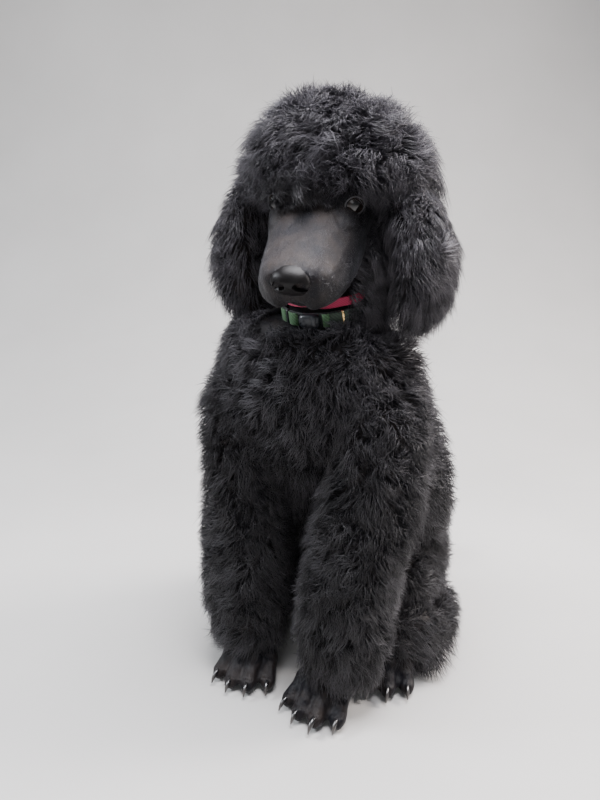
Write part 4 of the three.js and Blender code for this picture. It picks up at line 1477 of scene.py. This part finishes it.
# %% Regions of the coat
ear_root_z = 522
fringe_plane = ((0, 0.13, 0.9915), 525.5)
neck_plane = ((0, -0.26, 0.966), 391)
leg_plane = ((0, 0.9745, -0.2243), 26)
elbow_height, knee_height, leg_split, hind_split, tail_start = 196, 182, -6, 62, 262
ear_gap, ear_tip_height, crown_middle = 48, 398, 34
cuff_height, hind_cuff_height, hind_cuff_back, tail_height = 82, 70, 110, 200
flank_middle, flank_height, flank_slope = 62, 300, -0.2
ruff_gap, ruff_front, ruff_top = 38, -34, 60


def above(points, plane):
    return points @ np.array(plane[0]) > plane[1]


def ear_side(points, side):
    normal = np.array((side * 0.714, 0, -0.7))
    return points @ normal > normal[0] * (head_centre_x + side * 52) + normal[2] * ear_root_z


def regions(points):
    """The name of the region for each point."""
    x, y, z = points.T
    high = above(points, fringe_plane)
    nape = above(points, neck_plane)
    front = ~above(points, leg_plane)
    side = np.where(x > head_centre_x, 1, -1)
    beyond = np.where(side > 0, ear_side(points, 1), ear_side(points, -1))
    ear = (np.abs(x - head_centre_x) > ear_gap) & (z > ear_tip_height) & beyond
    named = np.full(len(points), "torso_back", dtype="<U14")
    named[y < flank_middle + (z - flank_height) * flank_slope] = "torso_front"
    named[nape] = "neck"
    named[high & (y >= crown_middle)] = "topknot_back"
    named[high & (y < crown_middle)] = "topknot_front"
    named[ear & (side > 0)] = "ear_left"
    named[ear & (side < 0)] = "ear_right"
    low = ~nape & ~ear
    named[low & front & (z < elbow_height) & (x > leg_split)] = "foreleg_left"
    named[low & front & (z < elbow_height) & (x <= leg_split)] = "foreleg_right"
    hind = low & ~front & (z < knee_height) & (np.abs(x) > hind_split) & (y < tail_start)
    named[hind & (x > 0)] = "hindleg_left"
    named[hind & (x < 0)] = "hindleg_right"
    local = in_collar_frame(points)
    beside_throat = (np.abs(local[:, 0]) > ruff_gap) & (local[:, 1] > ruff_front)
    named[(named == "neck") & beside_throat & (local[:, 2] < ruff_top)] = "ruff"
    named[(z < cuff_height) & (named == "foreleg_left")] = "cuff_left"
    named[(z < cuff_height) & (named == "foreleg_right")] = "cuff_right"
    hind_foot = (z < hind_cuff_height) & (y < hind_cuff_back)
    named[hind_foot & np.char.startswith(named, "hindleg")] = "cuff_hind"
    named[(y > tail_start) & (z < tail_height)] = "tail"
    return named


middles = body_ground["middles"]
body_ground["region"] = regions(middles)
throat_right, throat_left, throat_back, throat_low = -60, 31, -6, -11
throat_x, throat_y, throat_z = in_collar_frame(middles).T
shaved = (throat_z > throat_low) & (throat_y < throat_back)
shaved &= (throat_x > throat_right) & (throat_x < throat_left)
shaved &= ~above(middles, fringe_plane)
sole_height, facing_down = 12, -0.5
underside = (middles[:, 2] < sole_height) & (body_ground["facing"][:, 2] < facing_down)
body_ground["region"][shaved | underside] = "bare"

x, y, z = face_skin[0][face_skin[1]].mean(axis=1).T
brow_height, hairline, crown_edge, brow_half_width = 7.5, -15, 30, 44
eye_clearance, above_eye = 18, 20
under_crown, under_jaw = 34, -44
forelock_right, forelock_front = -16, -6
forehead = (z > brow_height) & (y > hairline + 4 * np.sin(x / 6 + 1)) & (y < crown_edge)
from_eye = np.hypot(x - eye_at(1)[0], y - eye_at(1)[1])
forehead &= (np.abs(x) < brow_half_width) & ((from_eye > eye_clearance) | (z > above_eye))
face_ground["region"] = np.full(len(x), "stubble", dtype="<U14")
face_ground["region"][(y > under_crown) | (z < under_jaw)] = "bare"
face_ground["region"][forehead] = "fringe"
face_ground["region"][forehead & (x < forelock_right) & (y > forelock_front)] = "forelock"
for ground in (body_ground, face_ground):
    for name in sorted(set(ground["region"])):
        print(name, round(ground["areas"][ground["region"] == name].sum() / 100), "square centimetres")

# %% [markdown]
# The lie of the coat is a field of directions: out and down from the crown, straight down the ears
# and chest, out along the tail. A few slow waves bend the field, so that the hair swirls as combed
# curls do and no two patches look alike.

# %% Lie of the coat
def waves(points, length, random, count=5):
    """Slow random directions that change over about a length."""
    total = np.zeros_like(points)
    for _ in range(count):
        way = unit(random.normal(size=(1, 3)))[0] * 2 * np.pi / (length * random.uniform(0.7, 1.4))
        total += np.sin(points @ way + random.uniform(0, 2 * np.pi))[:, None] * random.normal(size=3)
    return total / np.sqrt(count)


def lie_of(region, points):
    x, y = points[:, 0], points[:, 1]
    out_x, out_y, one = x - head_centre_x, y - 44, np.ones_like(x)
    if region.startswith("topknot"):
        rows = np.stack([out_x, out_y * 0.9, -28 - 0.5 * np.hypot(out_x, out_y)], axis=1)
    elif region.startswith("ear"):
        rows = np.stack([out_x * 0.0025, -0.12 * one, -one], axis=1)
    elif region in ("fringe", "forelock", "stubble"):
        forward = np.array(head_frame.to_3x3()) @ (0, -1, 0)
        rows = one[:, None] * forward * (-1 if region == "stubble" else 1) + (0, 0, -0.35)
    elif region == "tail":
        rows = np.stack([0.3 * one, one, 0.15 * one], axis=1)
    elif region.startswith("hindleg"):
        rows = np.stack([np.sign(x) * 0.35, 0.5 * one, -one], axis=1)
    else:
        rows = np.stack([x * 0.0015, 0.1 * one, -one], axis=1)
    return unit(rows)


print("hair on an ear lies along", lie_of("ear_left", middles[:1])[0].round(2))

# %% [markdown]
# A tuft is a thin three sided blade in a few stretches, wide at the root and fine at the tip. Tufts
# gather in locks: all tufts near one centre bend towards it and share its twist. That is what makes
# curls out of straight blades, and it costs nothing but a little arithmetic on whole arrays.

# %% Tufts and locks
def nearest(points, centres):
    tree = kdtree.KDTree(len(centres))
    for i, centre in enumerate(centres):
        tree.insert(centre, i)
    tree.balance()
    return np.array([tree.find(point)[1] for point in points])


def scattered(ground, region, count, random):
    """Roots on the faces of a region: places, normals and places on the flat map."""
    own = np.nonzero(ground["region"] == region)[0]
    weights = ground["areas"][own] * crowding(region, ground["facing"][own])
    chosen = own[random.choice(len(own), size=count, p=weights / weights.sum())]
    s, t = random.random((2, count, 1))
    mix = [(1 - s) * (1 - t), s * (1 - t), s * t, (1 - s) * t]
    corner = ground["faces"][chosen]
    at = sum(m * ground["corners"][corner[:, k]] for k, m in enumerate(mix))
    out = unit(sum(m * ground["normals"][corner[:, k]] for k, m in enumerate(mix)))
    flat = sum(m * ground["flat"][chosen, k] for k, m in enumerate(mix))
    return at, out, flat


def crowding(region, facing):
    """How thick the hair stands: thin where the ears turn inwards and can't be seen."""
    if region.startswith("ear"):
        side = 1 if region.endswith("left") else -1
        return np.clip(0.75 + 0.6 * side * facing[:, 0], 0.3, 1)
    return np.ones(len(facing))


def blades(name, paths, widths, out, flat, material, patch=0.003):
    """One mesh of three sided blades along paths, given as tufts x stations x 3."""
    tufts, stations = paths.shape[:2]
    run = np.gradient(paths, axis=1)
    run /= np.maximum(np.linalg.norm(run, axis=2, keepdims=True), 1e-9)
    side = np.cross(run, out[:, None])
    side /= np.maximum(np.linalg.norm(side, axis=2, keepdims=True), 1e-9)
    up = np.cross(side, run)
    rings = stations - 1
    taper = np.linspace(1, 0, stations)[:rings] ** 0.6
    corners = np.empty((tufts, rings * 3 + 1, 3))
    places = np.empty((tufts, rings * 3 + 1, 2))
    along = np.empty((tufts, rings * 3 + 1))
    for k in range(3):
        angle = math.radians(90 + 120 * k)
        reach = (widths[:, None] * taper)[..., None] / 2
        offset = side[:, :rings] * math.cos(angle) + up[:, :rings] * math.sin(angle) * 0.5
        corners[:, k : rings * 3 : 3] = paths[:, :rings] + offset * reach
        places[:, k : rings * 3 : 3, 0] = flat[:, :1] + patch * (k - 1) / 2
        places[:, k : rings * 3 : 3, 1] = flat[:, 1:] + patch * (np.arange(rings) / rings - 0.5)
        along[:, k : rings * 3 : 3] = np.arange(rings) / rings
    corners[:, -1], places[:, -1], along[:, -1] = paths[:, -1], flat + (0, patch / 2), 1
    faces = []
    for i in range(rings - 1):
        for k in range(3):
            a, b = i * 3 + k, i * 3 + (k + 1) % 3
            faces += [(a, b, b + 3), (a, b + 3, a + 3)]
    top = (rings - 1) * 3
    faces += [(top + k, top + (k + 1) % 3, rings * 3) for k in range(3)]
    faces = (np.array(faces)[None] + (np.arange(tufts) * (rings * 3 + 1))[:, None, None]).reshape(-1, 3)
    mesh = bpy.data.meshes.new(name)
    mesh.vertices.add(corners.size // 3)
    mesh.loops.add(faces.size)
    mesh.polygons.add(len(faces))
    mesh.vertices.foreach_set("co", ((corners.reshape(-1, 3) + np.array(shift)) * MM).ravel())
    mesh.loops.foreach_set("vertex_index", faces.ravel())
    mesh.polygons.foreach_set("loop_start", np.arange(0, faces.size, 3))
    mesh.update(calc_edges=True)
    mesh.polygons.foreach_set("use_smooth", np.ones(len(faces), bool))
    mesh.uv_layers.new(name="OFBake").data.foreach_set("uv", places.reshape(-1, 2)[faces.ravel()].ravel())
    mesh.attributes.new("along", "FLOAT", "POINT").data.foreach_set("value", along.ravel())
    mesh.materials.append(material)
    made = bpy.data.objects.new(name, mesh)
    bpy.context.scene.collection.objects.link(made)
    return made


def hair(ground, region, look, seed):
    """Centrelines of all the tufts of a region, with their widths, normals and map places."""
    random = np.random.default_rng(seed)
    at, out, flat = scattered(ground, region, look["tufts"], random)
    area = ground["areas"][ground["region"] == region].sum()
    centres = scattered(ground, region, int(area / look["lock"] ** 2) + 1, random)[0]
    lock = nearest(at, centres)
    own = random.normal(size=(len(centres), 3))
    count = len(at)
    lie = lie_of(region, at) + waves(at, 70, np.random.default_rng(5)) * look["swirl"]
    lie = lie + own[lock] * look["swirl"] * 0.55 + random.normal(size=at.shape) * look["loose"]
    lie = unit(lie - out * np.sum(lie * out, axis=1, keepdims=True))
    depth = look["depth"] * (0.9 + look["uneven"] * (random.random(len(centres)) - 0.5))[lock]
    depth *= random.uniform(0.74, 1.08, count) + 0.22 * (random.random(count) < 0.04)
    side = np.cross(lie, out)
    phase = random.uniform(0, 2 * np.pi, len(centres))[lock] + random.normal(size=count) * 0.5
    turns = look["turns"] * random.uniform(0.7, 1.3, len(centres))[lock]
    stations = look["rings"] + 1
    s = np.linspace(0, 1, stations)
    paths = np.empty((count, stations, 3))
    for i, t in enumerate(s):
        rise = depth * look["stand"] * (1 - (1 - t) ** 1.5) - look["sunk"] * (1 - t)
        lean = depth * look["lean"] * t**1.7
        fall = look["fall"] * depth * t**2.2
        gather = (centres[lock] - at) * (look["gather"] * t**1.4)
        gather -= out * np.sum(gather * out, axis=1, keepdims=True) * 0.7
        angle = phase + turns * t
        twist = look["curl"] * t * (side * np.cos(angle)[:, None] + lie * np.sin(angle)[:, None])
        paths[:, i] = at + out * rise[:, None] + lie * lean[:, None] + gather + twist
        paths[:, i, 2] -= fall
    paths[:, :, 2] = np.maximum(paths[:, :, 2], 1.5 + 2.5 * np.abs(np.sin(phase))[:, None])
    widths = look["width"] * random.uniform(0.65, 1.25, count)
    return paths, widths, out, flat


print("tufts and locks are ready")

# %% [markdown]
# Hair finish. Each tuft is darker at its root, painted shade where its neighbours shade it, and
# paler and softer at the tip. Painted top light pales the colour with height, from the full black
# of the legs to a softer black on the crown, which faces the light from above. A broad noise lets
# patches differ a little, from blue black to brown black, as the photo shows along the rim of the coat.

# %% Hair material
def hair_material(name, lift):
    material, shader = principled(
        name, Roughness=0.42, Sheen_Weight=0.1, Sheen_Roughness=0.4, Specular_IOR_Level=0.36
    )
    shader.inputs["Sheen Tint"].default_value = (0.85, 0.82, 0.9, 1)
    place = object_place(material)
    # Painted top light: the tips go from the dull ramp on the legs to the bright ramp on the crown.
    legs, crown = 0.16, 0.62
    painted_top_light = ranged(material, height_above_floor(material), 0, lift, legs, crown, smooth=True)
    patches = noise(material, place, 14, 3)
    locks = noise(material, place, 95, 2)
    # Painted shade at the roots, where the neighbouring tufts shade them, in patches that differ at random.
    painted_root_shade = blend_colours(material, patches, (0.004, 0.0038, 0.005), (0.008, 0.0068, 0.0068))
    dull = blend_colours(material, locks, (0.006, 0.0057, 0.0072), (0.019, 0.017, 0.0185))
    bright = blend_colours(material, locks, (0.016, 0.0149, 0.019), (0.115, 0.1065, 0.123))
    tip = mixed(material, painted_top_light, dull, bright)
    along = add_node(material, "ShaderNodeAttribute", attribute_name="along")
    link(material, mixed(material, along.outputs["Fac"], painted_root_shade, tip), shader.inputs["Base Color"])
    return material


# Two copies of one finish: the curly coat gets the full painted top light, and the shaded coat, for the hair
# on the face, gets little of it, as painted shade under the crown.
curly = hair_material("curly_coat", 1.0)
shaded = hair_material("shaded_coat", 0.22)
long_hair = {"turns": 4.6, "gather": 0.35, "fall": 0.1, "swirl": 0.6, "loose": 0.3}
long_hair = {**long_hair, "stand": 1, "sunk": 2.5, "uneven": 0.24}
crown_look = {**long_hair, "depth": 25, "lean": 0.6, "curl": 5.6, "lock": 12, "width": 1.15, "rings": 3}
ear_look = {**crown_look, "depth": 15, "lean": 1.4, "curl": 3.8, "fall": 0.5}
body_look = {**long_hair, "depth": 21, "lean": 0.55, "curl": 5, "lock": 14, "width": 1.5, "rings": 2}
body_look = {**body_look, "fall": 0.2, "loose": 0.4}
leg_look = {**body_look, "depth": 17, "lean": 0.7, "curl": 4.2, "lock": 12}
cuff_look = {**leg_look, "depth": 19, "stand": 0.62, "lean": 1.25, "fall": 0.25, "tufts": 2400}
face_hair = {**crown_look, "depth": 17, "stand": 0.55, "lean": 0.9, "curl": 2.6, "lock": 8}
face_hair = {**face_hair, "width": 1.0, "sunk": 1, "uneven": 0.8}
stubble_look = {**face_hair, "depth": 2.2, "stand": 0.25, "curl": 0.2, "gather": 0, "lock": 6}
stubble_look = {**stubble_look, "width": 0.32, "rings": 1, "sunk": 0.2, "fall": 0, "tufts": 16000}
looks = {
    "topknot_front": {**crown_look, "tufts": 12000},
    "topknot_back": {**crown_look, "width": 1.4, "fall": 0.55, "lean": 0.9, "tufts": 8500},
    "ear_left": {**ear_look, "tufts": 9500},
    "ear_right": {**ear_look, "tufts": 8500},
    "neck": {**body_look, "depth": 19, "tufts": 7500},
    "ruff": {**body_look, "depth": 27, "lean": 0.8, "fall": 0.3, "tufts": 5000},
    "torso_front": {**body_look, "tufts": 20500},
    "torso_back": {**body_look, "width": 1.75, "tufts": 14000},
    "foreleg_left": {**leg_look, "tufts": 9500},
    "foreleg_right": {**leg_look, "tufts": 9000},
    "cuff_left": cuff_look,
    "cuff_right": cuff_look,
    "cuff_hind": {**cuff_look, "depth": 24, "tufts": 3600},
    "hindleg_left": {**leg_look, "depth": 18, "tufts": 8000},
    "hindleg_right": {**leg_look, "depth": 18, "width": 1.75, "tufts": 5500},
    "tail": {**leg_look, "depth": 18, "tufts": 3500},
    "fringe": {**face_hair, "tufts": 1700},
    "forelock": {**face_hair, "depth": 28, "lean": 1.15, "tufts": 1500, "curl": 4},
    "stubble": stubble_look,
}
triangles = 0
for seed, (region, look) in enumerate(looks.items()):
    ground = face_ground if region in ("fringe", "forelock", "stubble") else body_ground
    material = shaded if ground is face_ground else curly
    coat = blades("coat_" + region, *hair(ground, region, look, seed), material)
    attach(coat, body_name)
    triangles += len(coat.data.polygons)
    print(coat.name, len(coat.data.polygons), "triangles")
print("the coat has", triangles, "triangles")
